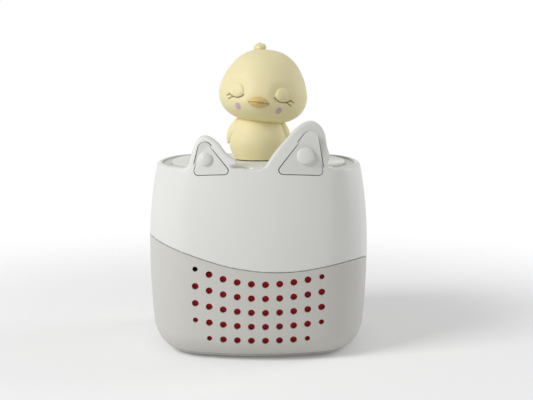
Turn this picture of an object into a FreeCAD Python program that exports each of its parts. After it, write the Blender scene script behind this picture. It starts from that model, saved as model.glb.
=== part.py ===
"""Audio story player: a rounded-square housing with two ears, a speaker inside and a duckling figure on top.

Frame: X to the right, Y to the back, Z up. Origin on the table under the middle. Millimetres.
"""
import FreeCAD, Part
import math
import os

from FreeCAD import Matrix, Placement, Rotation, Vector

# Housing outline: four bowed sides and four round corners
HALF_WIDTH = 60.0
SIDE_BOW_R = 120.0
CORNER_R = 30.0
# Housing profile, from the bottom up
GROUND_Z = -2.5
BODY_BOTTOM_Z = GROUND_Z + 0.6
BOTTOM_ROUND_R = 14.0
LOWER_BOW_R = 450.0
WIDEST_Z = 53.0
UPPER_BOW_R = 220.0
RIM_Z = 97.1
WALL = 2.2
EDGE_ROUND_R = 2.2
RIM_WALL = 2.7
# Gaps and fits
SEAM_GAP = 0.25
FIT_GAP = 0.15
BUTTON_GAP = 0.4
RUNNING_GAP = 0.05
# Seam between the two shells, as (plan angle in degrees, height)
SEAM_POINTS = [(-151, 58.6), (-131, 55.5), (-120, 51.3), (-107, 46.7), (-84, 44.1), (-61, 47.2), (-46, 49.4),
               (-33, 48.2), (-8, 42.6), (35, 40.0), (80, 45.5), (125, 54.6), (170, 58.0)]
TONGUE_H = 2.0
# Bottom cover
COVER_TOP_Z = GROUND_Z + 3.0
COVER_LIP_H = 2.5
LIP_INSET = 17.0
LIP_T = 1.5
FOOT_R = 5.0
FOOT_H = 1.4
TOWER_XY = 31.0
TOWER_R = 3.6
SCREW_R = 1.4
SCREW_HEAD_R = 2.7
SCREW_HEAD_H = 1.8
SCREW_L = 14.0
# Ears on the front rim, as outlines seen from the front
BIG_EAR = [(0.8, 97.1), (5.0, 100.3), (9.4, 106.4), (13.9, 111.5), (18.4, 116.2), (23.0, 119.5),
           (27.3, 120.6), (31.6, 118.2), (34.1, 113.4), (35.2, 107.1), (35.8, 100.4), (38.2, 97.1)]
SMALL_EAR = [(-37.4, 97.1), (-35.3, 99.4), (-34.2, 104.2), (-32.4, 109.3), (-29.9, 112.5), (-27.3, 113.2),
             (-23.3, 111.6), (-19.4, 108.3), (-14.5, 103.0), (-11.2, 99.2), (-7.2, 97.1)]
EAR_THICK = 8.0
EAR_SKIN = 2.2
EAR_BACK_T = 1.4
EAR_LEAN_DEG = 13.5
# Push buttons, as corners and corner radii seen from the front
BIG_BUTTON = [(8.6, 94.3), (27.4, 119.0), (32.6, 94.3)]
BIG_BUTTON_R = [2.0, 3.6, 2.0]
BIG_COVER = [(11.8, 98.9), (27.4, 119.2), (32.4, 98.9)]
BIG_DOME = (23.7, 102.9)
BIG_DOME_R = 4.35
SMALL_BUTTON = [(-33.0, 94.3), (-27.9, 112.0), (-14.2, 94.3)]
SMALL_BUTTON_R = [2.2, 2.6, 1.8]
SMALL_COVER = [(-32.8, 98.9), (-27.9, 112.2), (-17.6, 98.9)]
SMALL_DOME = (-26.3, 101.1)
SMALL_DOME_R = 3.05
DOME_H = 1.0
FLANGE_T = 0.9
FLANGE_W = 0.9
BUTTON_TRAVEL = 0.6
PLUNGER_L = 1.2
SWITCH_SIZE = 3.0
SWITCH_T = 1.2
EAR_BOARD_T = 0.6
# Top deck
RECESS_DEPTH = 2.5
RING_T = 1.5
PLATE_HALF = 47.6
PLATE_BOW_R = 100.0
PLATE_CORNER_R = 33.0
PLATE_T = 2.8
ROOF_T = 2.2
LIGHT_X = -3.6
LIGHT_Y = -50.5
LIGHT_R = 1.45
# Speaker grille
GRILLE_PITCH = 7.17
GRILLE_COLUMNS = 10
HOLE_R = 1.78
SMALL_HOLE_R = 1.38
GRILLE_BELOW_SEAM = 5.5
GRILLE_BOTTOM_Z = 9.1
GRILLE_BOTTOM_RISE = 1.2
CLOTH_T = 0.4
# Speaker
SPEAKER_Z = 27.0
BAFFLE_Y = -44.0
BAFFLE_T = 3.0
BAFFLE_W = 82.0
BAFFLE_H = 43.0
SPEAKER_R = 21.0
SPEAKER_FLANGE_T = 1.2
BASKET_DEPTH = 10.0
MAGNET_R = 12.0
MAGNET_T = 8.0
CONE_R = 13.5
COIL_R = 6.4
CONE_DEPTH = 5.0
CONE_TRAVEL = 0.8
# Boards
BOARD_T = 1.6
BOARD_Z = 10.5
BOARD_HALF_X = 26.0
BOARD_FRONT_Y = 6.0
BOARD_BACK_Y = 52.0
READER_HALF = 27.0
READER_T = 1.2
READER_Z = 88.4
DOCK_MAGNET_R = 8.0
DOCK_MAGNET_T = 2.0
# Sockets and the power button in the back wall
SOCKET_FACE_Y = 58.0
USB_X = 0.0
USB_W = 9.0
USB_H = 3.3
USB_L = 7.5
JACK_X = 15.0
JACK_R = 1.78
JACK_BODY = 5.6
JACK_L = 13.0
POWER_X = -15.0
POWER_R = 3.6
POWER_TRAVEL = 0.6
CONTROL_Z = 15.5
# Battery
CELL_R = 9.2
CELL_L = 65.0
CELL_Y = -9.0
CELL_Z = 12.1
HOLDER_WALL = 1.5
# Figure
FIGURE_BASE_R = 12.6
FIGURE_BASE_T = 1.2
FIGURE_GAP = 0.05
BODY_PROFILE = [(13.3, 0.5), (15.0, 3.4), (16.2, 8.5), (15.7, 14.0), (13.4, 19.5), (9.9, 24.0)]
BODY_TOP = 26.0
HEAD_PROFILE = [(8.6, 39.3), (15.2, 35.2), (20.1, 28.8), (23.2, 21.6), (24.3, 15.2), (22.4, 8.6), (17.8, 4.0),
                (10.2, 1.1)]
HEAD_H = 40.6
HEAD_BASE = 20.0
HEAD_TILT_DEG = 6.4
HEAD_X = 0.8
BEAK_W = 12.4
BEAK_H = 7.0
BEAK_OUT = 5.4
TUFT_R = 2.3
WING_TOP_R = 3.4
WING_TIP_R = 2.2
FIGURE_MAGNET_R = 6.0
FIGURE_MAGNET_T = 2.0
TAG_R = 8.0
TAG_T = 0.8
# Leads inside the housing
LEAD_R = 0.8

Z_UP = Vector(0, 0, 1)
BIG = 90.0
DECK_Z = RIM_Z - RECESS_DEPTH
PLATE_TOP_Z = DECK_Z + PLATE_T
ROOF_Z = DECK_Z - ROOF_T
EAR_TOP_Z = max(z for x, z in BIG_EAR) + 4.0
PRESS = Vector(0, math.cos(math.radians(EAR_LEAN_DEG)), -math.sin(math.radians(EAR_LEAN_DEG)))


def arc3(a, b, c):
    """Arc edge through three points."""
    return Part.Arc(a, b, c).toShape()


def corner_geometry(half, bow, corner):
    """Half angle of a side arc, and the distance of a corner centre from both middle planes."""
    turn = math.acos((bow - half) / (bow - corner) / math.sqrt(2)) - math.pi / 4
    return turn, (bow - corner) * math.sin(turn)


def plan_sectors(half, bow, corner):
    """The eight arcs of a rounded square, as (centre x, centre y, radius, from angle, to angle)."""
    turn, reach = corner_geometry(half, bow, corner)
    sectors = []
    for quarter in range(4):
        q = quarter * math.pi / 2
        cx, cy = (half - bow) * math.cos(q), (half - bow) * math.sin(q)
        sectors.append((cx, cy, bow, q - turn, q + turn))
        diagonal = q + math.pi / 4
        cx, cy = reach * math.sqrt(2) * math.cos(diagonal), reach * math.sqrt(2) * math.sin(diagonal)
        sectors.append((cx, cy, corner, q + turn, q + math.pi / 2 - turn))
    return sectors


def plan_wire(half, bow, corner, z):
    """Rounded-square wire at height z."""
    edges = []
    for cx, cy, r, start, end in plan_sectors(half, bow, corner):
        points = [Vector(cx + r * math.cos(t), cy + r * math.sin(t), z) for t in (start, (start + end) / 2, end)]
        edges.append(arc3(*points))
    return Part.Wire(edges)


def plan_prism(half, bow, corner, low, high):
    """Rounded-square prism between two heights."""
    return Part.Face(plan_wire(half, bow, corner, low)).extrude(Vector(0, 0, high - low))


def inset_prism(inset, low, high):
    """Upright prism of the housing's outline, standing in from the widest outline by inset."""
    return plan_prism(HALF_WIDTH - inset, SIDE_BOW_R - inset, CORNER_R - inset, low, high)


def side_inset(z):
    """How far the side stands in from the widest outline at height z, above the bottom rounding."""
    bow = UPPER_BOW_R if z > WIDEST_Z else LOWER_BOW_R
    return bow - math.sqrt(bow ** 2 - (z - WIDEST_Z) ** 2)


def bottom_round():
    """Centre (inset, height) of the bottom rounding and its tangent point with the lower side."""
    rise = WIDEST_Z - BODY_BOTTOM_Z - BOTTOM_ROUND_R
    reach = math.sqrt((LOWER_BOW_R - BOTTOM_ROUND_R) ** 2 - rise ** 2)
    centre = (LOWER_BOW_R - reach, WIDEST_Z - rise)
    share = LOWER_BOW_R / (LOWER_BOW_R - BOTTOM_ROUND_R)
    return centre, (LOWER_BOW_R - reach * share, WIDEST_Z - rise * share)


def top_round(inset, top, radius):
    """Centre (inset, height) of the rim's rounding and its tangent point with the upper side."""
    side = UPPER_BOW_R - inset
    rise = top - radius - WIDEST_Z
    reach = math.sqrt((side - radius) ** 2 - rise ** 2)
    share = side / (side - radius)
    return (UPPER_BOW_R - reach, WIDEST_Z + rise), (UPPER_BOW_R - reach * share, WIDEST_Z + rise * share)


def bow_arc(inset, bow, z0, z1):
    """Three (inset, height) points of the side's arc between two heights."""
    points = []
    for z in (z0, (z0 + z1) / 2, z1):
        points.append((bow - math.sqrt((bow - inset) ** 2 - (z - WIDEST_Z) ** 2), z))
    return points


def corner_arc(centre, radius, start, end):
    """Three (inset, height) points of a rounding between two angles from straight inwards."""
    angles = (start, (start + end) / 2, end)
    return [(centre[0] + radius * math.cos(a), centre[1] + radius * math.sin(a)) for a in angles]


def profile_arcs(inset, top, radius):
    """The side profile as arcs of three points, from the bottom up."""
    (ci, cz), (ti, tz) = bottom_round()
    lower_turn = math.atan2(tz - cz, ti - ci) % (2 * math.pi)
    arcs = [corner_arc((ci, cz), BOTTOM_ROUND_R - inset, 1.5 * math.pi, lower_turn)]
    arcs.append(bow_arc(inset, LOWER_BOW_R, arcs[0][-1][1], WIDEST_Z))
    if not radius:
        return arcs + [bow_arc(inset, UPPER_BOW_R, WIDEST_Z, top)]
    centre, tangent = top_round(inset, top, radius)
    arcs.append(bow_arc(inset, UPPER_BOW_R, WIDEST_Z, tangent[1]))
    upper_turn = math.atan2(tangent[1] - centre[1], tangent[0] - centre[0]) % (2 * math.pi)
    return arcs + [corner_arc(centre, radius, upper_turn, math.pi / 2)]


def body_solid(inset, top, radius=0.0):
    """The housing's filled shape, standing in from the outside by inset, flat at height top.

    The upper edge is rounded with the given radius.
    """
    arcs = profile_arcs(inset, top, radius)
    faces = []
    for cx, cy, sector_r, start, end in plan_sectors(HALF_WIDTH, SIDE_BOW_R, CORNER_R):
        out = Vector(math.cos(start), math.sin(start), 0)
        centre = Vector(cx, cy, 0)
        for arc in arcs:
            points = [centre + out * (sector_r - e) + Z_UP * z for e, z in arc]
            faces += arc3(*points).revolve(centre, Z_UP, math.degrees(end - start)).Faces
    for e, z in (arcs[0][0], arcs[-1][-1]):
        faces.append(Part.Face(plan_wire(HALF_WIDTH - e, SIDE_BOW_R - e, CORNER_R - e, z)))
    shell = Part.Shell(faces)
    shell.sewShape()
    solid = Part.Solid(shell)
    if solid.Volume < 0:
        solid.reverse()
    return solid


def box(x0, x1, y0, y1, z0, z1):
    """Box between the given limits."""
    return Part.makeBox(x1 - x0, y1 - y0, z1 - z0, Vector(x0, y0, z0))


def rod(radius, start, end):
    """Round rod between two points."""
    along = end - start
    return Part.makeCylinder(radius, along.Length, start, along)


def tube(outer, inner, start, end):
    """Round tube between two points."""
    return rod(outer, start, end).cut(rod(inner, start, end))


def layer(outer_inset, inner_inset, top=EAR_TOP_Z):
    """The layer of space between two insets from the housing's outside."""
    return body_solid(outer_inset, top).cut(body_solid(inner_inset, top + 1.0))


def seam_prism(shift, height, inner=10.0, outer=95.0):
    """Ring-shaped space from the wavy seam, shifted by shift, up or down by height."""
    edges = []
    for radius in (inner, outer):
        points = [Vector(radius * math.cos(math.radians(a)), radius * math.sin(math.radians(a)), z + shift)
                  for a, z in SEAM_POINTS]
        curve = Part.BSplineCurve()
        curve.interpolate(Points=points, PeriodicFlag=True)
        edges.append(curve.toShape())
    return Part.makeRuledSurface(edges[0], edges[1]).extrude(Vector(0, 0, height))


def rounded_polygon(corners, radii, grow=0.0):
    """Wire of a polygon in the XZ plane with rounded corners, grown outwards by grow."""
    count = len(corners)
    middle = Vector(sum(c[0] for c in corners) / count, 0, sum(c[1] for c in corners) / count)
    points = [Vector(x, 0, z) for x, z in corners]
    ends, edges = [], []
    for i, p in enumerate(points):
        before, after = (points[i - 1] - p).normalize(), (points[(i + 1) % count] - p).normalize()
        half = before.getAngle(after) / 2
        r = radii[i]
        bisector = (before + after).normalize()
        ends.append([p + before * (r / math.tan(half)), p + bisector * (r / math.sin(half) - r),
                     p + after * (r / math.tan(half))])
    for i, (first, mid, last) in enumerate(ends):
        edges.append(arc3(first, mid, last))
        edges.append(Part.makeLine(last, ends[(i + 1) % count][0]))
    wire = Part.Wire(edges)
    if grow:
        wire = Part.Wire(wire.makeOffset2D(grow).Edges)
    return wire, middle


def press_prism(corners, radii, grow=0.0):
    """Prism of a button outline along the direction that the buttons are pressed in, at the ears."""
    wire, _ = rounded_polygon(corners, radii, grow)
    depth = 24.0
    front = -HALF_WIDTH - 4.0
    lift = (front + HALF_WIDTH - 5.0) * math.tan(math.radians(EAR_LEAN_DEG)) * -1
    wire.translate(Vector(0, front, lift))
    return Part.Face(wire).extrude(PRESS * depth)


def ear_prism(outline, low):
    """Prism along Y of an ear's outline, reaching down to height low, in front of the middle."""
    points = [Vector(x, -BIG, z) for x, z in outline]
    curve = Part.BSplineCurve()
    curve.interpolate(Points=points, InitialTangent=Vector(1, 0, 0), FinalTangent=Vector(1, 0, 0))
    first, last = points[0], points[-1]
    below_first, below_last = Vector(first.x, -BIG, low), Vector(last.x, -BIG, low)
    wire = Part.Wire([curve.toShape(), Part.makeLine(last, below_last),
                      Part.makeLine(below_last, below_first), Part.makeLine(below_first, first)])
    return Part.Face(wire).extrude(Vector(0, BIG, 0))


def ear_solid(outline):
    """One ear: a slice of the housing's leaning skin, cut to the ear's outline, rooted in the roof."""
    return ear_prism(outline, DECK_Z - ROOF_T / 2).common(layer(0, EAR_THICK))


def seam_height(x, y):
    """Height of the seam above a plan point."""
    radius = 60.0
    points = [Vector(radius * math.cos(math.radians(a)), radius * math.sin(math.radians(a)), z)
              for a, z in SEAM_POINTS]
    curve = Part.BSplineCurve()
    curve.interpolate(Points=points, PeriodicFlag=True)
    angle = math.atan2(y, x)
    ray = Part.makePolygon([Vector(0, 0, 0), Vector(BIG * math.cos(angle), BIG * math.sin(angle), 0)])
    sheet = ray.extrude(Vector(0, 0, 2 * BIG))
    return curve.toShape().section(sheet).Vertexes[0].Point.z


def towers():
    """Plan centres of the four screw towers."""
    return [Vector(sx * TOWER_XY, sy * TOWER_XY, 0) for sx in (-1, 1) for sy in (-1, 1)]


def ear_pocket(corners, radii, cover):
    """What is cut from an ear for its button, flange, switch and back cover."""
    opening = press_prism(corners, radii, BUTTON_GAP).common(layer(-1, EAR_SKIN + 0.1))
    room = press_prism(corners, radii, FLANGE_W + BUTTON_GAP).common(layer(EAR_SKIN, EAR_THICK - EAR_BACK_T - 0.1))
    back = press_prism(cover, radii, 0.0).common(layer(EAR_THICK - EAR_BACK_T - 0.3, EAR_THICK + 2))
    lead_x = corners[1][0]
    slot = box(lead_x - 2.5, lead_x + 2.5, -50.2, -48.6, ROOF_Z - 1, DECK_Z + 3)
    return opening.fuse([room, back, slot])


def make_upper_shell():
    """Upper housing: side wall, roof, rim, ears, tower tubes."""
    shell = body_solid(0, RIM_Z, EDGE_ROUND_R).cut(body_solid(WALL, ROOF_Z))
    shell = shell.cut(body_solid(RIM_WALL, RIM_Z + 1).common(box(-BIG, BIG, -BIG, BIG, DECK_Z, RIM_Z + 1)))
    shell = shell.cut(box(-BIG, BIG, -BIG, BIG, -BIG, WALL + COVER_TOP_Z))
    shell = shell.cut(seam_prism(SEAM_GAP / 2, -2 * BIG))
    groove = layer(WALL / 2 - FIT_GAP, WALL + 1, ROOF_Z).common(seam_prism(-1.0, TONGUE_H + FIT_GAP + 1.0))
    shell = shell.cut(groove)
    for outline in (BIG_EAR, SMALL_EAR):
        shell = shell.fuse(ear_solid(outline))
    for corners, radii, cover in ((BIG_BUTTON, BIG_BUTTON_R, BIG_COVER), (SMALL_BUTTON, SMALL_BUTTON_R, SMALL_COVER)):
        shell = shell.cut(ear_pocket(corners, radii, cover))
    for centre in towers():
        foot = centre + Z_UP * (COVER_TOP_Z + 4.0)
        shell = shell.fuse(rod(TOWER_R, foot, centre + Z_UP * (ROOF_Z + 0.5)))
        shell = shell.cut(rod(SCREW_R, foot - Z_UP, foot + Z_UP * SCREW_L))
    for x, y in reader_screw_points():
        post = Vector(x, y, READER_Z + READER_T)
        shell = shell.fuse(rod(2.4, post, Vector(x, y, ROOF_Z + 0.5)))
        shell = shell.cut(rod(0.9, post - Z_UP, Vector(x, y, ROOF_Z)))
    shell = shell.cut(rod(LIGHT_R + FIT_GAP, Vector(LIGHT_X, LIGHT_Y, ROOF_Z - 1), Vector(LIGHT_X, LIGHT_Y, DECK_Z + 1)))
    return shell.removeSplitter()


def grille_holes():
    """Cutters of the speaker grille: columns that follow the seam, small holes at the corners."""
    cutters = []
    for column in range(GRILLE_COLUMNS):
        x = (column - (GRILLE_COLUMNS - 1) / 2) * GRILLE_PITCH
        edge_column = column in (0, GRILLE_COLUMNS - 1)
        near_edge = column in (1, GRILLE_COLUMNS - 2)
        top = seam_height(x, -HALF_WIDTH + x * x / (2 * SIDE_BOW_R)) - GRILLE_BELOW_SEAM
        bottom = GRILLE_BOTTOM_Z + GRILLE_BOTTOM_RISE * (x / (GRILLE_PITCH * 4.5)) ** 2
        for row in range(5):
            if edge_column and row == 4:
                continue
            small = (edge_column and row in (0, 3)) or (near_edge and row == 4)
            z = top + (bottom - top) * row / 4
            radius = SMALL_HOLE_R if small else HOLE_R
            cutters.append(rod(radius, Vector(x, -HALF_WIDTH - 5, z), Vector(x, BAFFLE_Y - 2, z)))
    return cutters


def baffle_screw_points():
    """Centres of the four baffle screws, in X and Z."""
    return [(sx * (BAFFLE_W / 2 - 3.0), SPEAKER_Z + sz * (BAFFLE_H / 2 - 3.5)) for sx in (-1, 1) for sz in (-1, 1)]


def make_lower_housing():
    """Lower housing: side wall with grille, tongue, baffle posts and openings for the sockets."""
    wall = body_solid(0, ROOF_Z).cut(body_solid(WALL, ROOF_Z + 1))
    wall = wall.common(box(-BIG, BIG, -BIG, BIG, COVER_TOP_Z + SEAM_GAP, 80))
    shell = wall.cut(seam_prism(-SEAM_GAP / 2, 2 * BIG))
    tongue = layer(WALL / 2, WALL, ROOF_Z).common(seam_prism(-SEAM_GAP, TONGUE_H + SEAM_GAP))
    shell = shell.fuse(tongue)
    shell = shell.cut(grille_holes())
    inside = body_solid(WALL - 0.3, ROOF_Z)
    for x, z in baffle_screw_points():
        post = rod(3.0, Vector(x, -HALF_WIDTH, z), Vector(x, BAFFLE_Y - BAFFLE_T, z)).common(inside)
        pilot = rod(0.9, Vector(x, BAFFLE_Y - BAFFLE_T - 3.2, z), Vector(x, BAFFLE_Y, z))
        shell = shell.fuse(post).cut(pilot)
    for cutter in socket_openings():
        shell = shell.cut(cutter)
    return shell.removeSplitter()


def socket_openings():
    """Openings in the back wall for the charging socket, the headphone jack and the power button."""
    back = HALF_WIDTH + 5
    usb = box(USB_X - USB_W / 2 - 0.3, USB_X + USB_W / 2 + 0.3, 50, back,
              CONTROL_Z - USB_H / 2 - 0.3, CONTROL_Z + USB_H / 2 + 0.3)
    jack = rod(JACK_BODY / 2 + 0.2, Vector(JACK_X, 50, CONTROL_Z), Vector(JACK_X, back, CONTROL_Z))
    power = rod(POWER_R + BUTTON_GAP, Vector(POWER_X, 50, CONTROL_Z), Vector(POWER_X, back, CONTROL_Z))
    return [usb, jack, power]


def make_bottom_cover():
    """Bottom cover with a locating lip, screw bosses, foot recesses and board posts."""
    plate = body_solid(0, COVER_TOP_Z + 5).common(box(-BIG, BIG, -BIG, BIG, -BIG, COVER_TOP_Z))
    lip_top = COVER_TOP_Z + COVER_LIP_H
    lip = inset_prism(LIP_INSET, COVER_TOP_Z - 0.5, lip_top)
    lip = lip.cut(inset_prism(LIP_INSET + LIP_T, COVER_TOP_Z - 1.0, lip_top + 1.0))
    cover = plate.fuse(lip)
    for centre in towers():
        cover = cover.fuse(rod(TOWER_R + 1.6, centre + Z_UP * (COVER_TOP_Z - 0.5), centre + Z_UP * (COVER_TOP_Z + 4)))
    for x, y in board_screw_points():
        cover = cover.fuse(rod(2.6, Vector(x, y, COVER_TOP_Z - 0.5), Vector(x, y, BOARD_Z)))
    for centre in towers():
        head_top = COVER_TOP_Z + 1.5
        cover = cover.cut(rod(FOOT_R + FIT_GAP, centre + Z_UP * (GROUND_Z - 1), centre + Z_UP * (GROUND_Z + FOOT_H)))
        cover = cover.cut(rod(SCREW_HEAD_R + 0.3, centre + Z_UP * GROUND_Z, centre + Z_UP * head_top))
        cover = cover.cut(rod(SCREW_R + 0.2, centre + Z_UP * GROUND_Z, centre + Z_UP * (COVER_TOP_Z + 5)))
    for x, y in board_screw_points():
        cover = cover.cut(rod(0.9, Vector(x, y, BOARD_Z - 6), Vector(x, y, BOARD_Z + 1)))
    return cover.removeSplitter()


def screw(head, direction, head_r, head_h, shank_r, length):
    """Pan-head screw: head ends at point head, shank runs on along direction."""
    body = rod(head_r, head, head + direction * head_h)
    shank = rod(shank_r, head + direction * (head_h - 0.1), head + direction * (head_h + length))
    cross = [box(-0.35, 0.35, -head_r * 0.6, head_r * 0.6, -1, head_h * 0.45),
             box(-head_r * 0.6, head_r * 0.6, -0.35, 0.35, -1, head_h * 0.45)]
    turn = Placement(head, Rotation(Z_UP, direction))
    for c in cross:
        c.Placement = turn
    return body.fuse(shank).cut(cross)


def board_screw_points():
    """Centres of the main board's screws."""
    return [(sx * (BOARD_HALF_X - 3), y) for sx in (-1, 1) for y in (BOARD_FRONT_Y + 3, BOARD_BACK_Y - 12)]


def reader_screw_points():
    """Centres of the reader board's screws."""
    return [(sx * (READER_HALF - 3), sy * (READER_HALF - 3)) for sx in (-1, 1) for sy in (-1, 1)]


def make_button(corners, radii, dome, dome_r):
    """Ear button: cap flush with the ear, flange behind its skin, dome in front, plunger behind."""
    cap = press_prism(corners, radii).common(layer(0, EAR_SKIN + FIT_GAP + 0.2))
    flange = press_prism(corners, radii, FLANGE_W).common(layer(EAR_SKIN + FIT_GAP, EAR_SKIN + FIT_GAP + FLANGE_T))
    face = ear_face_point(*dome)
    ball_r = (dome_r ** 2 + DOME_H ** 2) / (2 * DOME_H)
    ball = Part.makeSphere(ball_r, face + PRESS * (ball_r - DOME_H))
    bump = ball.common(rod(dome_r, face - PRESS * 3, face + PRESS * 1.0))
    plunger = rod(1.0, face + PRESS * (EAR_SKIN + 0.5), face + PRESS * (EAR_SKIN + FIT_GAP + FLANGE_T + PLUNGER_L))
    return cap.fuse([flange, bump, plunger]).removeSplitter()


def ear_face_point(x, z):
    """Point of the ear's front surface at (x, z) seen from the front."""
    radius = SIDE_BOW_R - side_inset(z)
    return Vector(x, SIDE_BOW_R - HALF_WIDTH - math.sqrt(radius ** 2 - x * x), z)


def ear_switch(dome):
    """Tactile switch and its small board behind an ear button."""
    face = ear_face_point(*dome)
    start = EAR_SKIN + FIT_GAP + FLANGE_T + BUTTON_TRAVEL + 0.45
    turn = Rotation(Vector(0, 1, 0), PRESS)
    half = SWITCH_SIZE / 2
    body = box(-half, half, start, start + SWITCH_T, -half, half)
    body = body.cut(rod(1.0 + RUNNING_GAP, Vector(0, start - 1, 0), Vector(0, start + SWITCH_T + 1, 0)))
    board = box(-half - 0.7, half + 0.7, start + SWITCH_T, start + SWITCH_T + EAR_BOARD_T, -half - 0.9, half + 0.9)
    for shape in (body, board):
        shape.Placement = Placement(face, turn)
    return body, board


def make_ear_back(corners, radii):
    """Cover that closes the back of an ear."""
    return press_prism(corners, radii, -FIT_GAP).common(layer(EAR_THICK - EAR_BACK_T + 0.1, EAR_THICK))


def make_top_ring():
    """Recessed ring between rim and top plate, cut away round the ears."""
    ring = body_solid(RIM_WALL + FIT_GAP, EAR_TOP_Z).common(box(-BIG, BIG, -BIG, BIG, DECK_Z, DECK_Z + RING_T))
    ring = ring.cut(plan_prism(PLATE_HALF + FIT_GAP, PLATE_BOW_R, PLATE_CORNER_R, DECK_Z - 1, RIM_Z))
    ring = ring.cut(rod(LIGHT_R + FIT_GAP, Vector(LIGHT_X, LIGHT_Y, 80), Vector(LIGHT_X, LIGHT_Y, 100)))
    for ear in (BIG_EAR, SMALL_EAR):
        space = ear_prism(ear, DECK_Z - 1).common(layer(-1, EAR_THICK + FIT_GAP, EAR_TOP_Z + 2))
        left, right = ear[0][0] - FIT_GAP, ear[-1][0] + FIT_GAP
        ring = ring.cut(space).cut(box(left, right, -BIG, -PLATE_HALF + 2.0, DECK_Z - 1, RIM_Z))
    return ring.removeSplitter()


def make_top_plate():
    """Flat plate that the figure stands on, with rounded upper edge."""
    plate = plan_prism(PLATE_HALF, PLATE_BOW_R, PLATE_CORNER_R, DECK_Z, PLATE_TOP_Z)
    rim = [e for e in plate.Edges if e.BoundBox.ZMin > PLATE_TOP_Z - 0.01]
    plate = plate.makeFillet(0.6, rim)
    return plate.cut(layer(-1, EAR_THICK + FIT_GAP).common(box(-BIG, BIG, -BIG, -20, DECK_Z - 1, RIM_Z + 9)))


def make_light_pipe():
    """Light guide: domed head in the ring, stem through the roof."""
    foot = Vector(LIGHT_X, LIGHT_Y, ROOF_Z - 1.2)
    head = Vector(LIGHT_X, LIGHT_Y, DECK_Z + RING_T + 0.1)
    stem = rod(LIGHT_R, foot, head)
    ball = Part.makeSphere(LIGHT_R * 1.35, head - Z_UP * (LIGHT_R * 0.7))
    dome = ball.common(rod(LIGHT_R, head - Z_UP * 0.2, head + Z_UP * 3))
    flange = rod(LIGHT_R + 1.0, foot, foot + Z_UP * 1.1)
    return stem.fuse([dome, flange]).removeSplitter()


def make_speaker_cloth():
    """Cloth against the inside of the grille."""
    width = GRILLE_PITCH * 4.5 + 3.5
    sheet = layer(WALL + FIT_GAP, WALL + FIT_GAP + CLOTH_T, 60).common(box(-width, width, -BIG, -40, 6.0, 45.0))
    for x, z in baffle_screw_points():
        sheet = sheet.cut(rod(3.3, Vector(x, -BIG, z), Vector(x, -40, z)))
    return max(sheet.Solids, key=lambda s: s.Volume)


def make_baffle():
    """Plate that holds the speaker behind the grille."""
    plate = box(-BAFFLE_W / 2, BAFFLE_W / 2, BAFFLE_Y - BAFFLE_T, BAFFLE_Y,
                SPEAKER_Z - BAFFLE_H / 2, SPEAKER_Z + BAFFLE_H / 2)
    plate = plate.common(body_solid(WALL + CLOTH_T + 0.6, ROOF_Z))
    plate = plate.cut(rod(CONE_R + 3.2, Vector(0, -BIG, SPEAKER_Z), Vector(0, 0, SPEAKER_Z)))
    for x, z in baffle_screw_points():
        plate = plate.cut(rod(1.2, Vector(x, -BIG, z), Vector(x, 0, z)))
    for x, z in speaker_screw_points():
        plate = plate.cut(rod(0.8, Vector(x, -BIG, z), Vector(x, 0, z)))
    return plate


def speaker_screw_points():
    """Centres of the four speaker screws, in X and Z."""
    reach = SPEAKER_R - 1.5
    return [(sx * reach * 0.7071, SPEAKER_Z + sz * reach * 0.7071) for sx in (-1, 1) for sz in (-1, 1)]


def spin(points):
    """Solid of revolution about the speaker's axis from (radius, depth behind the baffle) points."""
    vectors = [Vector(r, BAFFLE_Y + d, SPEAKER_Z) for r, d in points]
    face = Part.Face(Part.makePolygon(vectors + [vectors[0]]))
    return face.revolve(Vector(0, 0, SPEAKER_Z), Vector(0, 1, 0), 360)


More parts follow.
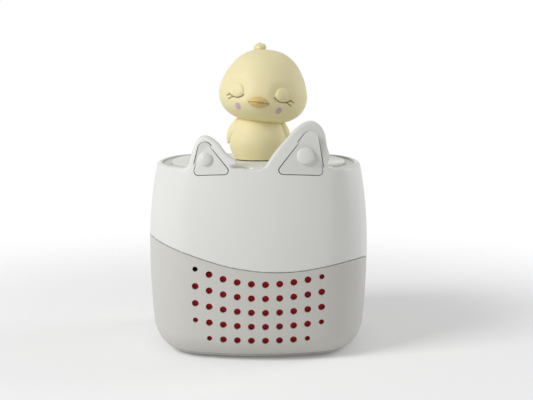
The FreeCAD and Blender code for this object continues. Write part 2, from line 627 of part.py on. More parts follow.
def make_speaker():
    """Speaker pieces: basket, magnet, cone with coil and dust cap, surround."""
    t = SPEAKER_FLANGE_T
    frame = spin([(CONE_R + 2.8, 0), (SPEAKER_R, 0), (SPEAKER_R, t), (CONE_R + 4.4, t), (MAGNET_R + 0.6, BASKET_DEPTH),
                  (COIL_R + 1.2, BASKET_DEPTH), (COIL_R + 1.2, BASKET_DEPTH - t), (MAGNET_R - 0.6, BASKET_DEPTH - t)])
    for k in range(6):
        arm = box(-2.6, 2.6, BAFFLE_Y + t + 1.5, BAFFLE_Y + BASKET_DEPTH - 2.5, 8, 30)
        arm.rotate(Vector(0, 0, 0), Vector(0, 1, 0), 60 * k + 30)
        arm.translate(Vector(0, 0, SPEAKER_Z))
        frame = frame.cut(arm)
    for x, z in speaker_screw_points():
        frame = frame.cut(rod(1.0, Vector(x, -BIG, z), Vector(x, 0, z)))
    magnet_end = BASKET_DEPTH + MAGNET_T
    magnet = spin([(0, magnet_end), (MAGNET_R, magnet_end), (MAGNET_R, BASKET_DEPTH), (COIL_R + 0.4, BASKET_DEPTH),
                   (COIL_R + 0.4, magnet_end - 2.0), (COIL_R - 0.9, magnet_end - 2.0), (COIL_R - 0.9, BASKET_DEPTH - 1.5),
                   (0, BASKET_DEPTH - 1.5)])
    cone = spin([(CONE_R, 0.4), (CONE_R, 0.8), (COIL_R, CONE_DEPTH + 0.6), (COIL_R - 0.5, CONE_DEPTH + 0.2),
                 (CONE_R - 0.8, 0.0)])
    coil = spin([(COIL_R - 0.4, CONE_DEPTH + 0.6), (COIL_R, CONE_DEPTH + 0.6), (COIL_R, BASKET_DEPTH + 3.0),
                 (COIL_R - 0.4, BASKET_DEPTH + 3.0)])
    rise = 2.0
    ball_r = ((COIL_R - 0.5) ** 2 + rise ** 2) / (2 * rise)
    centre = Vector(0, BAFFLE_Y + CONE_DEPTH + 0.2 - rise + ball_r, SPEAKER_Z)
    cap = Part.makeSphere(ball_r, centre).cut(Part.makeSphere(ball_r - 0.3, centre))
    cap = cap.common(rod(COIL_R - 0.5, Vector(0, BAFFLE_Y, SPEAKER_Z), Vector(0, BAFFLE_Y + CONE_DEPTH + 0.2, SPEAKER_Z)))
    middle = CONE_R + 1.5
    roll = Part.makeTorus(middle, 1.25, Vector(0, BAFFLE_Y, SPEAKER_Z), Vector(0, 1, 0))
    roll = roll.cut(Part.makeTorus(middle, 0.9, Vector(0, BAFFLE_Y, SPEAKER_Z), Vector(0, 1, 0)))
    roll = roll.common(box(-BIG, BIG, BAFFLE_Y - 3, BAFFLE_Y - 0.0, -BIG, BIG))
    return {"speaker_frame": frame, "speaker_magnet": magnet, "speaker_cone": cone, "voice_coil": coil,
            "dust_cap": cap, "speaker_surround": roll}


def make_main_board():
    """Main board with its screw holes."""
    board = box(-BOARD_HALF_X, BOARD_HALF_X, BOARD_FRONT_Y, BOARD_BACK_Y, BOARD_Z, BOARD_Z + BOARD_T)
    for x, y in board_screw_points():
        board = board.cut(rod(1.2, Vector(x, y, 0), Vector(x, y, 50)))
    return board


def make_chips():
    """Processor, memory, radio module and amplifier on the main board."""
    top = BOARD_Z + BOARD_T
    chips = [(-6, 22, 12, 12, 1.4), (8, 20, 9, 6, 1.0), (-10, 38, 14, 9, 2.0), (10, 36, 6, 6, 1.2)]
    return Part.makeCompound([box(x, x + w, y, y + d, top, top + h) for x, y, w, d, h in chips])


def make_reader_board():
    """Reader board below the roof, with a tongue that carries the status light."""
    top = READER_Z + READER_T
    board = box(-READER_HALF, READER_HALF, -READER_HALF, READER_HALF, READER_Z, top)
    board = board.fuse(box(LIGHT_X - 4, LIGHT_X + 4, LIGHT_Y - 2.0, -READER_HALF + 1, READER_Z, top))
    for x, y in reader_screw_points():
        board = board.cut(rod(1.1, Vector(x, y, READER_Z - 1), Vector(x, y, top + 1)))
    return board.removeSplitter()


def make_charging_socket():
    """Charging socket: metal shell with its tongue, on the main board's back edge."""
    back = SOCKET_FACE_Y
    outer = box(USB_X - USB_W / 2, USB_X + USB_W / 2, back - USB_L, back, CONTROL_Z - USB_H / 2, CONTROL_Z + USB_H / 2)
    outer = outer.makeFillet(1.4, [e for e in outer.Edges if abs(e.BoundBox.YLength - USB_L) < 0.01])
    hole = box(USB_X - USB_W / 2 + 0.35, USB_X + USB_W / 2 - 0.35, back - USB_L + 1.0, back + 1,
               CONTROL_Z - USB_H / 2 + 0.35, CONTROL_Z + USB_H / 2 - 0.35)
    hole = hole.makeFillet(1.1, [e for e in hole.Edges if abs(e.BoundBox.YLength - USB_L) < 0.01])
    tongue = box(USB_X - 3.3, USB_X + 3.3, back - USB_L + 0.5, back - 1.2, CONTROL_Z - 0.35, CONTROL_Z + 0.35)
    foot = box(USB_X - 3.5, USB_X + 3.5, back - USB_L, BOARD_BACK_Y, BOARD_Z + BOARD_T, CONTROL_Z - USB_H / 2 + 0.2)
    return outer.cut(hole).fuse([tongue, foot]).removeSplitter()


def make_headphone_jack():
    """Headphone jack with a blind bore, on the main board's back edge."""
    back = SOCKET_FACE_Y
    start = back - JACK_L
    barrel = rod(JACK_BODY / 2, Vector(JACK_X, start, CONTROL_Z), Vector(JACK_X, back, CONTROL_Z))
    half = JACK_BODY / 2
    block = box(JACK_X - half, JACK_X + half, start, BOARD_BACK_Y, BOARD_Z + BOARD_T, CONTROL_Z + half)
    bore = rod(JACK_R, Vector(JACK_X, start + 1.0, CONTROL_Z), Vector(JACK_X, back + 1, CONTROL_Z))
    return barrel.fuse(block).cut(bore).removeSplitter()


def make_power_button():
    """Power button: round cap in the back wall with a collar and a plunger."""
    face = back_face_y(POWER_X) - 0.2
    cap = rod(POWER_R, Vector(POWER_X, face - 3.4, CONTROL_Z), Vector(POWER_X, face, CONTROL_Z))
    cap = cap.makeFillet(0.5, [e for e in cap.Edges if e.BoundBox.YMin > face - 0.01 and e.Closed])
    collar_y = face - 3.4
    collar = rod(POWER_R + 1.2, Vector(POWER_X, collar_y - 1.0, CONTROL_Z), Vector(POWER_X, collar_y + 0.1, CONTROL_Z))
    plunger = rod(1.0, Vector(POWER_X, power_switch_y() - 1.0, CONTROL_Z), Vector(POWER_X, collar_y, CONTROL_Z))
    return cap.fuse([collar, plunger]).removeSplitter()


def back_face_y(x):
    """Y of the outer back face at x, at the height of the controls."""
    radius = SIDE_BOW_R - side_inset(CONTROL_Z)
    return math.sqrt(radius ** 2 - x * x) - (SIDE_BOW_R - HALF_WIDTH)


def power_switch_y():
    """Y of the power switch's working face."""
    return back_face_y(POWER_X) - 0.2 - 4.4 - POWER_TRAVEL - 0.2


def make_power_switch():
    """Tactile switch on the main board behind the power button."""
    y = power_switch_y()
    body = box(POWER_X - 3, POWER_X + 3, y - 3.6, y, BOARD_Z + BOARD_T, CONTROL_Z + 2.6)
    return body.cut(rod(1.0 + RUNNING_GAP, Vector(POWER_X, y - 1.0 - POWER_TRAVEL - 0.3, CONTROL_Z),
                        Vector(POWER_X, y + 1, CONTROL_Z)))


def make_battery():
    """Round cell lying along X, and the holder that carries it on the bottom cover."""
    half = CELL_L / 2
    cell = rod(CELL_R, Vector(-half, CELL_Y, CELL_Z), Vector(half, CELL_Y, CELL_Z))
    cell = cell.makeFillet(0.8, [e for e in cell.Edges if e.Closed])
    bottom = COVER_TOP_Z
    w = HOLDER_WALL
    holder = box(-half - w - 0.8, half + w + 0.8, CELL_Y - CELL_R - w, CELL_Y + CELL_R + w, bottom, CELL_Z)
    room = rod(CELL_R + FIT_GAP, Vector(-half - 0.8, CELL_Y, CELL_Z), Vector(half + 0.8, CELL_Y, CELL_Z))
    return cell, holder.cut(room)


def lead(points, bend):
    """Round lead: straight runs joined by arcs that touch them."""
    edges = []
    start = points[0]
    for before, at, after in zip(points, points[1:], points[2:]):
        to_before, to_after = (before - at).normalize(), (after - at).normalize()
        half = to_before.getAngle(to_after) / 2
        reach = bend / math.tan(half)
        first, last = at + to_before * reach, at + to_after * reach
        middle = at + (to_before + to_after).normalize() * (bend / math.sin(half) - bend)
        edges += [Part.makeLine(start, first), arc3(first, middle, last)]
        start = last
    edges.append(Part.makeLine(start, points[-1]))
    path = Part.Wire(edges)
    ring = Part.Wire(Part.makeCircle(LEAD_R, points[0], points[1] - points[0]))
    return path.makePipeShell([ring], True, False)


def make_leads():
    """Leads clipped inside the housing."""
    board_top = BOARD_Z + BOARD_T
    cell_end = Vector(-CELL_L / 2 - 3.4, CELL_Y, CELL_Z + 1.5)
    battery = lead([cell_end, Vector(-40.5, CELL_Y, CELL_Z + 1.5), Vector(-40.5, CELL_Y, 30), Vector(-40.5, 14, 30),
                    Vector(-22, 14, 30), Vector(-22, 14, board_top)], 4.0)
    magnet_y = BAFFLE_Y + BASKET_DEPTH + MAGNET_T
    speaker = lead([Vector(8, magnet_y, SPEAKER_Z + 6), Vector(8, 4, SPEAKER_Z + 6), Vector(20, 14, SPEAKER_Z + 6),
                    Vector(20, 14, board_top)], 4.0)
    reader = lead([Vector(0, 20, READER_Z), Vector(0, 20, 70), Vector(0, 12, 60), Vector(0, 12, board_top)], 4.0)
    return {"battery_lead": battery, "speaker_lead": speaker, "reader_lead": reader}


def make_figure_body(base_z):
    """Egg-shaped body of the figure, flat below, with a pocket for the base disc."""
    points = [Vector(r, 0, z) for r, z in BODY_PROFILE] + [Vector(0, 0, BODY_TOP)]
    curve = Part.BSplineCurve()
    curve.interpolate(Points=points, InitialTangent=Vector(0.8, 0, 1), FinalTangent=Vector(-1, 0, 0))
    bottom = Vector(0, 0, BODY_PROFILE[0][1])
    face = Part.Face(Part.Wire([curve.toShape(), Part.makeLine(points[-1], bottom), Part.makeLine(bottom, points[0])]))
    body = face.revolve(Vector(0, 0, 0), Z_UP, 360)
    body.translate(Vector(0, 0, base_z))
    return body


def make_head(base_z):
    """Broad, low head, turned and then tilted to the right."""
    points = [Vector(0, 0, 0)] + [Vector(r, 0, z) for r, z in reversed(HEAD_PROFILE)] + [Vector(0, 0, HEAD_H)]
    curve = Part.BSplineCurve()
    curve.interpolate(Points=points, InitialTangent=Vector(1, 0, 0), FinalTangent=Vector(-1, 0, 0))
    face = Part.Face(Part.Wire([curve.toShape(), Part.makeLine(points[-1], points[0])]))
    head = face.revolve(Vector(0, 0, 0), Z_UP, 360)
    return head, head_placement(base_z)


def head_placement(base_z):
    """Where the head sits on the body: tilted about Y by the head's tilt."""
    turn = Rotation(Vector(0, 1, 0), HEAD_TILT_DEG)
    return Placement(Vector(HEAD_X, 0, base_z + HEAD_BASE), turn) * Placement(Vector(0, 0, 0), Rotation())


def ellipsoid(rx, ry, rz, centre):
    """Ellipsoid with half axes along X, Y and Z."""
    matrix = Matrix()
    matrix.scale(rx, ry, rz)
    shape = Part.makeSphere(1.0).transformGeometry(matrix)
    shape.translate(centre)
    return shape


def make_figure():
    """All pieces of the duckling figure, standing on the top plate."""
    base_z = PLATE_TOP_Z + FIGURE_GAP
    base = rod(FIGURE_BASE_R, Vector(0, 0, base_z), Vector(0, 0, base_z + FIGURE_BASE_T))
    body = make_figure_body(base_z).cut(rod(FIGURE_BASE_R + RUNNING_GAP, Vector(0, 0, 90), Vector(0, 0, base_z + FIGURE_BASE_T)))
    head, place = make_head(base_z)
    head.Placement = place
    beak_at = Vector(-2.0, -22.4, 11.6)
    upper = ellipsoid(BEAK_W / 2, BEAK_OUT, BEAK_H * 0.30, beak_at + Z_UP * 0.9)
    lower = ellipsoid(BEAK_W / 2 * 0.86, BEAK_OUT * 0.86, BEAK_H * 0.30, beak_at - Z_UP * 1.0)
    beak = upper.fuse(lower)
    beak.Placement = place
    beak = beak.cut(head)
    tuft = Part.makeSphere(TUFT_R, Vector(-6.3, 0, HEAD_H + 0.5))
    tuft = tuft.fuse([Part.makeSphere(TUFT_R * 0.9, Vector(-3.2, -0.6, HEAD_H + 0.7)),
                      Part.makeSphere(TUFT_R * 0.8, Vector(-4.7, 1.7, HEAD_H + 0.8))])
    tuft.Placement = place
    tuft = tuft.cut(head)
    body = body.cut(head)
    wings = []
    for side in (-1, 1):
        shoulder = Vector(side * 11.6, -0.4, base_z + 21.0)
        tip = Vector(side * 16.6, -0.4, base_z + 9.4)
        length = (tip - shoulder).Length
        wing = Part.makeCone(WING_TOP_R, WING_TIP_R, length, shoulder, tip - shoulder)
        wing = wing.fuse([Part.makeSphere(WING_TOP_R, shoulder), Part.makeSphere(WING_TIP_R, tip)])
        wings.append(wing.cut(body).cut(head))
    magnet = rod(FIGURE_MAGNET_R, Vector(0, 0, base_z + FIGURE_BASE_T), Vector(0, 0, base_z + FIGURE_BASE_T + FIGURE_MAGNET_T))
    tag_z = base_z + FIGURE_BASE_T + FIGURE_MAGNET_T
    tag = rod(TAG_R, Vector(0, 0, tag_z), Vector(0, 0, tag_z + TAG_T))
    body = body.cut(magnet).cut(tag)
    wings = Part.makeCompound([max(w.Solids, key=lambda s: s.Volume) for w in wings])
    return {"figure_base": base, "figure_body": body, "figure_head": head, "figure_beak": beak,
            "figure_tuft": tuft, "figure_wings": wings, "figure_magnet": magnet, "figure_tag": tag}


def make_screws():
    """All screws, each kind as one group."""
    housing = [screw(c + Z_UP * (COVER_TOP_Z + 1.5 - SCREW_HEAD_H), Z_UP, SCREW_HEAD_R, SCREW_HEAD_H, SCREW_R - 0.05,
                     SCREW_L - 1) for c in towers()]
    baffle = [screw(Vector(x, BAFFLE_Y + 1.2, z), Vector(0, -1, 0), 1.9, 1.2, 0.85, 6.0) for x, z in baffle_screw_points()]
    driver = [screw(Vector(x, BAFFLE_Y + SPEAKER_FLANGE_T + 1.0, z), Vector(0, -1, 0), 1.5, 1.0, 0.75, 3.0)
              for x, z in speaker_screw_points()]
    board = [screw(Vector(x, y, BOARD_Z + BOARD_T + 1.2), Vector(0, 0, -1), 1.9, 1.2, 0.85, 6.0)
             for x, y in board_screw_points()]
    reader = [screw(Vector(x, y, READER_Z - 1.2), Z_UP, 1.9, 1.2, 0.85, 3.2) for x, y in reader_screw_points()]
    return {"housing_screws": Part.makeCompound(housing), "baffle_screws": Part.makeCompound(baffle),
            "speaker_screws": Part.makeCompound(driver), "board_screws": Part.makeCompound(board),
            "reader_screws": Part.makeCompound(reader)}


def make_all():
    """Every node of the player, by name."""
    up_switch, up_board = ear_switch(BIG_DOME)
    down_switch, down_board = ear_switch(SMALL_DOME)
    cell, holder = make_battery()
    feet = [rod(FOOT_R, c + Z_UP * GROUND_Z, c + Z_UP * (GROUND_Z + FOOT_H - 0.05)) for c in towers()]
    dock_low = ROOF_Z - DOCK_MAGNET_T
    nodes = {
        "upper_shell": make_upper_shell(),
        "lower_housing": make_lower_housing(),
        "bottom_cover": make_bottom_cover(),
        "rubber_feet": Part.makeCompound(feet),
        "top_ring": make_top_ring(),
        "top_plate": make_top_plate(),
        "light_pipe": make_light_pipe(),
        "volume_up_button": make_button(BIG_BUTTON, BIG_BUTTON_R, BIG_DOME, BIG_DOME_R),
        "volume_down_button": make_button(SMALL_BUTTON, SMALL_BUTTON_R, SMALL_DOME, SMALL_DOME_R),
        "volume_up_switch": up_switch,
        "volume_up_board": up_board,
        "volume_down_switch": down_switch,
        "volume_down_board": down_board,
        "big_ear_back": make_ear_back(BIG_COVER, BIG_BUTTON_R),
        "small_ear_back": make_ear_back(SMALL_COVER, SMALL_BUTTON_R),
        "speaker_cloth": make_speaker_cloth(),
        "speaker_baffle": make_baffle(),
        "main_board": make_main_board(),
        "board_chips": make_chips(),
        "reader_board": make_reader_board(),
        "status_led": box(LIGHT_X - 1.0, LIGHT_X + 1.0, LIGHT_Y - 0.8, LIGHT_Y + 0.8, READER_Z + READER_T,
                          READER_Z + READER_T + 0.8),
        "docking_magnet": rod(DOCK_MAGNET_R, Vector(0, 0, dock_low), Vector(0, 0, ROOF_Z)),
        "charging_socket": make_charging_socket(),
        "headphone_jack": make_headphone_jack(),
        "power_button": make_power_button(),
        "power_switch": make_power_switch(),
        "battery_cell": cell,
        "battery_holder": holder,
    }
    nodes.update(make_speaker())
    nodes.update(make_screws())
    nodes.update(make_leads())
    nodes.update(make_figure())
    return nodes


if __name__ == "__main__":
    os.makedirs("parts", exist_ok=True)
    for name, shape in make_all().items():
        shape.translate(Vector(0, 0, -GROUND_Z))
        shape.exportStep("parts/" + name + ".step")
        print(name, "solids", len(shape.Solids), "valid", shape.isValid(), "volume", round(shape.Volume, 1))
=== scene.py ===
"""Looks of the audio story player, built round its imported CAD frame."""

import logging
import math
from contextlib import contextmanager
from dataclasses import dataclass, field
from enum import Enum
from typing import Callable, Iterator, Optional, Sequence

import bmesh
import bpy
from mathutils import Matrix, Vector
from mathutils.kdtree import KDTree


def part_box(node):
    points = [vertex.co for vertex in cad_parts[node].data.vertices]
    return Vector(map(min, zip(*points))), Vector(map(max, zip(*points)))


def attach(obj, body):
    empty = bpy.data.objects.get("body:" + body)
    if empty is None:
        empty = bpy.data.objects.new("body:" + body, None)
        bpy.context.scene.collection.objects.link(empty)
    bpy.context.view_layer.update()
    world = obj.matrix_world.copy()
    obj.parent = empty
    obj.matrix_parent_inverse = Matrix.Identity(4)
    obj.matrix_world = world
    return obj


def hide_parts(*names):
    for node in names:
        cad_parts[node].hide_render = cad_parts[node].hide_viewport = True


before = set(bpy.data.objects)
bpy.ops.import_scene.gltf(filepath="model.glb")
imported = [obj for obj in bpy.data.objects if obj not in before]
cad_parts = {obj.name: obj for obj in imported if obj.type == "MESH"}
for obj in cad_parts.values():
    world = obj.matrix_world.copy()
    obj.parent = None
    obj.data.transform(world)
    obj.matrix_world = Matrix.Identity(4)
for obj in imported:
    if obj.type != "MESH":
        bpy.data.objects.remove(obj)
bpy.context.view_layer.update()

LOG = logging.getLogger("story_player")
MM = 0.001
WHITE = (1, 1, 1, 1)
BLACK = (0, 0, 0, 1)
# Waves of a wave texture in one unit of its scale
WAVES_PER_SCALE = 3.2


class Body(Enum):
    """Moving bodies of the frame."""

    HOUSING = "housing"
    VOLUME_UP = "volume_up"
    VOLUME_DOWN = "volume_down"
    POWER = "power"
    CONE = "cone"
    FIGURE = "figure"


# Materials


def linear(hex_colour: str) -> tuple[float, float, float, float]:
    """Turns an sRGB hex colour into linear RGBA.

    Args:
        hex_colour: six hex digits, with or without a hash.

    Returns:
        Linear red, green, blue and an alpha of 1.
    """
    digits = hex_colour.lstrip("#")
    parts = [int(digits[i:i + 2], 16) / 255 for i in (0, 2, 4)]
    red, green, blue = (p / 12.92 if p <= 0.04045 else ((p + 0.055) / 1.055) ** 2.4 for p in parts)
    return red, green, blue, 1.0


def add_node(tree: bpy.types.NodeTree, kind: str, settings: Optional[dict] = None,
             links: Optional[dict] = None) -> bpy.types.Node:
    """Adds one node with its settings, input values and incoming links.

    Args:
        tree: node tree that gets the node.
        kind: the node's type name.
        settings: attributes by name, or input values by socket name or number.
        links: output sockets by the name or number of the input they go to.

    Returns:
        The new node.
    """
    node = tree.nodes.new(kind)
    for key, value in (settings or {}).items():
        if isinstance(key, str) and hasattr(node, key):
            setattr(node, key, value)
        else:
            node.inputs[key].default_value = value
    for key, socket in (links or {}).items():
        tree.links.new(socket, node.inputs[key])
    return node


def mixed(tree: bpy.types.NodeTree, low: tuple, high: tuple,
          share: bpy.types.NodeSocket) -> bpy.types.NodeSocket:
    """Mixes two constant colours.

    Args:
        tree: node tree that gets the mix.
        low: linear RGBA where the share is 0.
        high: linear RGBA where the share is 1.
        share: socket that says how much of the second colour shows.

    Returns:
        The mixed colour's socket.
    """
    mix = add_node(tree, "ShaderNodeMix", {"data_type": "RGBA", 6: low, 7: high}, {0: share})
    return mix.outputs[2]


@dataclass(frozen=True)
class Finish:
    """A surface finish: colour with a faint mottle, fine grain as bump, and its gloss.

    Attributes:
        name: the material's name.
        colour: sRGB hex of the main tone.
        second: sRGB hex of the tone that the colour drifts to.
        roughness: middle of the roughness range.
        grain_mm: size of the fine grain.
        grain_height_mm: height of the fine grain.
    """

    name: str
    colour: str
    second: str
    roughness: float
    grain_mm: float
    grain_height_mm: float
    mottle_mm: float = 18.0
    roughness_swing: float = 0.06
    metallic: float = 0.0
    ior: float = 1.5
    coat: float = 0.0
    sheen: float = 0.0
    subsurface: float = 0.0
    bleed_mm: float = 2.0
    bleed_tint: tuple = (1.0, 0.8, 0.5)
    glow: float = 0.0
    transmission: float = 0.0

    def colour_socket(self, tree: bpy.types.NodeTree, place: bpy.types.NodeSocket) -> bpy.types.NodeSocket:
        """Colour that drifts between the finish's two tones."""
        mottle = add_node(tree, "ShaderNodeTexNoise", {"Scale": 1 / (self.mottle_mm * MM), "Detail": 3.0},
                          {"Vector": place})
        return mixed(tree, linear(self.colour), linear(self.second), mottle.outputs["Fac"])

    def height_socket(self, tree: bpy.types.NodeTree, place: bpy.types.NodeSocket) -> bpy.types.NodeSocket:
        """Height of the surface's fine grain, from 0 to 1."""
        grain = add_node(tree, "ShaderNodeTexNoise",
                         {"Scale": 1 / (self.grain_mm * MM), "Detail": 2.0, "Roughness": 0.6},
                         {"Vector": place})
        return grain.outputs["Fac"]

    def build(self) -> bpy.types.Material:
        """Makes the node material.

        Returns:
            The material, with its pattern on Object coordinates.
        """
        material = bpy.data.materials.new(self.name)
        material.use_nodes = True
        tree = material.node_tree
        tree.nodes.clear()
        place = add_node(tree, "ShaderNodeTexCoord").outputs["Object"]
        height = self.height_socket(tree, place)
        bump = add_node(tree, "ShaderNodeBump", {"Strength": 1.0, "Distance": self.grain_height_mm * MM},
                        {"Height": height})
        gloss = add_node(tree, "ShaderNodeMapRange",
                         {"To Min": self.roughness - self.roughness_swing,
                          "To Max": self.roughness + self.roughness_swing}, {"Value": height})
        colour = self.colour_socket(tree, place)
        links = {"Base Color": colour, "Roughness": gloss.outputs["Result"], "Normal": bump.outputs["Normal"]}
        settings = {"Metallic": self.metallic, "Coat Weight": self.coat, "Sheen Weight": self.sheen,
                    "Subsurface Weight": self.subsurface, "Transmission Weight": self.transmission}
        if not self.metallic:
            settings["IOR"] = self.ior
        if self.subsurface:
            settings["Subsurface Scale"] = self.bleed_mm * MM
            settings["Subsurface Radius"] = self.bleed_tint
        if self.glow:
            settings["Emission Color"] = linear(self.colour)
            settings["Emission Strength"] = self.glow
        shader = add_node(tree, "ShaderNodeBsdfPrincipled", settings, links)
        add_node(tree, "ShaderNodeOutputMaterial", None, {"Surface": shader.outputs["BSDF"]})
        return material


@dataclass(frozen=True)
class WovenCloth(Finish):
    """Plain weave: warp and weft waves crossing, thread colour on the crowns and painted shade between the
    threads.
    """

    thread_mm: float = 0.6

    def weave(self, tree: bpy.types.NodeTree, place: bpy.types.NodeSocket) -> bpy.types.NodeSocket:
        """Height of the crossing threads, from 0 to 1."""
        waves = [add_node(tree, "ShaderNodeTexWave",
                          {"bands_direction": axis, "Scale": 1 / (self.thread_mm * MM) / WAVES_PER_SCALE,
                           "Distortion": 0.4},
                          {"Vector": place}).outputs["Fac"] for axis in ("X", "Z")]
        crossing = add_node(tree, "ShaderNodeMath", {"operation": "MULTIPLY"}, {0: waves[0], 1: waves[1]})
        return crossing.outputs[0]

    def colour_socket(self, tree: bpy.types.NodeTree, place: bpy.types.NodeSocket) -> bpy.types.NodeSocket:
        """Thread colour, with painted shade in the gaps."""
        return mixed(tree, linear(self.second), linear(self.colour), self.weave(tree, place))

    def height_socket(self, tree: bpy.types.NodeTree, place: bpy.types.NodeSocket) -> bpy.types.NodeSocket:
        """The weave's height."""
        return self.weave(tree, place)


@dataclass(frozen=True)
class Grooved(Finish):
    """Finish with even grooves along one direction: a winding, a turned face or a pressed cone."""

    pitch_mm: float = 0.5
    direction: str = "Z"
    rings: bool = False

    def height_socket(self, tree: bpy.types.NodeTree, place: bpy.types.NodeSocket) -> bpy.types.NodeSocket:
        """Height of the grooves, from 0 to 1."""
        kind = {"wave_type": "RINGS", "rings_direction": self.direction} if self.rings else {
            "wave_type": "BANDS", "bands_direction": self.direction}
        wave = add_node(tree, "ShaderNodeTexWave",
                        {**kind, "Scale": 1 / (self.pitch_mm * MM) / WAVES_PER_SCALE}, {"Vector": place})
        return wave.outputs["Fac"]


@dataclass(frozen=True)
class CircuitBoard(Finish):
    """Solder mask over copper: straight traces show as a lighter, raised green."""

    trace_mm: float = 2.5

    def traces(self, tree: bpy.types.NodeTree, place: bpy.types.NodeSocket) -> bpy.types.NodeSocket:
        """1 on a trace and 0 beside it."""
        bricks = add_node(tree, "ShaderNodeTexBrick",
                          {"Scale": 1 / (self.trace_mm * MM), "Mortar Size": 0.06, "Color1": BLACK,
                           "Color2": BLACK, "Mortar": WHITE}, {"Vector": place})
        return bricks.outputs["Fac"]

    def colour_socket(self, tree: bpy.types.NodeTree, place: bpy.types.NodeSocket) -> bpy.types.NodeSocket:
        """Green, lighter over the traces."""
        return mixed(tree, linear(self.colour), linear(self.second), self.traces(tree, place))

    def height_socket(self, tree: bpy.types.NodeTree, place: bpy.types.NodeSocket) -> bpy.types.NodeSocket:
        """The traces' height."""
        return self.traces(tree, place)


@dataclass(frozen=True)
class PaintedVinyl(Finish):
    """Soft vinyl whose carved lines, painted cheeks and the beak's painted crease shade follow the mesh's own
    attributes.
    """

    line: str = "8a6f3c"
    blush: str = "cbb0c0"

    def colour_socket(self, tree: bpy.types.NodeTree, place: bpy.types.NodeSocket) -> bpy.types.NodeSocket:
        """Vinyl colour, cheeks and lines laid over it; on the beak the lines are painted shade."""
        base = Finish.colour_socket(self, tree, place)
        for name, colour in (("blush", self.blush), ("line", self.line)):
            share = add_node(tree, "ShaderNodeAttribute", {"attribute_name": name}).outputs["Fac"]
            base = add_node(tree, "ShaderNodeMix", {"data_type": "RGBA", 7: linear(colour)},
                            {0: share, 6: base}).outputs[2]
        return base


FINISHES: dict[str, Finish] = {
    # Satin moulded ABS: a fine spark texture breaks the highlight into a soft glow
    "shell": Finish("moulded_abs_white", "e5e5e2", "e0e0dc", 0.42, 0.35, 0.006, coat=0.05),
    "button": Finish("moulded_abs_button", "dfe0dc", "dadbd6", 0.42, 0.35, 0.006),
    "plate": Finish("moulded_abs_plate", "e2e4dd", "dddfd8", 0.38, 0.3, 0.005),
    "greige": Finish("moulded_abs_greige", "cfcec8", "cac9c3", 0.45, 0.4, 0.008),
    # Recessed ring: greige, darkened further with painted shade of the recess
    "ring": Finish("moulded_abs_ring_greige_with_painted_shade", "c9c7c0", "c4c2bb", 0.45, 0.35, 0.006),
    # Black plastic inside: matt, with a coarser mould texture
    "black": Finish("moulded_pp_black", "1b1b1d", "242426", 0.5, 0.6, 0.02),
    "rubber": Finish("soft_rubber", "2a2a2b", "333334", 0.75, 0.5, 0.03, sheen=0.1),
    # Red weave: the darker red between the threads is painted shade
    "cloth": WovenCloth("woven_speaker_cloth", "f00a1c", "a80616", 0.85, 0.35, 0.05, sheen=0.05,
                        thread_mm=0.7),
    # Clear plastic lit from inside, so it glows pale green
    "lens": Finish("light_guide_acrylic", "dfeeb0", "e6f2bd", 0.15, 1.0, 0.002, ior=1.49, coat=0.4, glow=0.9),
    "steel": Finish("nickel_plated_steel", "b9b7b2", "a8a6a1", 0.3, 0.25, 0.004, metallic=1.0),
    "ferrite": Finish("sintered_ferrite", "3a3a3c", "2f2f31", 0.6, 0.3, 0.01),
    "cone": Grooved("pressed_paper_cone", "242425", "2e2e2f", 0.8, 0.5, 0.03, pitch_mm=1.5, direction="Y",
                    rings=True),
    "copper": Grooved("enamelled_copper_winding", "b8703c", "a05f30", 0.3, 0.2, 0.08, metallic=1.0,
                      pitch_mm=0.3, direction="Y"),
    "mask": CircuitBoard("green_solder_mask", "0f4a28", "1d6b3c", 0.3, 0.5, 0.03, coat=0.3),
    "wrap": Finish("shrink_wrapped_cell", "2f6fae", "2a66a2", 0.25, 1.2, 0.01, coat=0.4),
    "lead": Finish("soft_pvc_lead", "8c1618", "7c1214", 0.5, 0.4, 0.01),
    # Soft matt vinyl: light sinks in a little, so shaded sides stay warm
    "vinyl": Finish("rotocast_vinyl_yellow", "f0e6b8", "ecdfae", 0.55, 0.5, 0.012, subsurface=0.12),
    "face": PaintedVinyl("rotocast_vinyl_face", "f0e6b8", "ecdfae", 0.55, 0.5, 0.012, subsurface=0.12),
    # Beak: its line colour is painted shade in the beak's groove and folds
    "beak": PaintedVinyl("rotocast_vinyl_beak_with_painted_crease_shade", "e0c684", "d6ba78", 0.5, 0.5, 0.012, subsurface=0.1,
                         line="a8874e"),
}


@dataclass
class PaintShop:
    """Builds each finish once and puts it on pieces."""

    made: dict[str, bpy.types.Material] = field(default_factory=dict)

    def get(self, finish: str) -> bpy.types.Material:
        """The material of a finish, built when first asked for."""
        if finish not in self.made:
            self.made[finish] = FINISHES[finish].build()
        return self.made[finish]

    def dress(self, piece: bpy.types.Object, finish: str) -> None:
        """Puts one finish all over a piece."""
        piece.data.materials.clear()
        piece.data.materials.append(self.get(finish))


# Bench work: selecting, editing and finishing meshes


def pick(piece: bpy.types.Object) -> None:
    """Makes a piece the only selected and active object."""
    bpy.ops.object.select_all(action="DESELECT")
    piece.select_set(True)
    bpy.context.view_layer.objects.active = piece


@contextmanager
def editing(piece: bpy.types.Object, mode: str = "VERT") -> Iterator[bmesh.types.BMesh]:
    """Edit mode on one piece with nothing selected; yields its edit mesh."""
    pick(piece)
    bpy.ops.object.mode_set(mode="EDIT")
    bpy.ops.mesh.select_mode(type=mode)
    bpy.ops.mesh.select_all(action="DESELECT")
    yield bmesh.from_edit_mesh(piece.data)
    bpy.ops.object.mode_set(mode="OBJECT")


def select_verts(piece: bpy.types.Object, test: Callable[[Vector], bool]) -> None:
    """Selects the vertices whose place passes a test, in edit mode."""
    mesh = bmesh.from_edit_mesh(piece.data)
    for vert in mesh.verts:
        vert.select_set(test(vert.co))
    mesh.select_flush(True)
    bmesh.update_edit_mesh(piece.data)


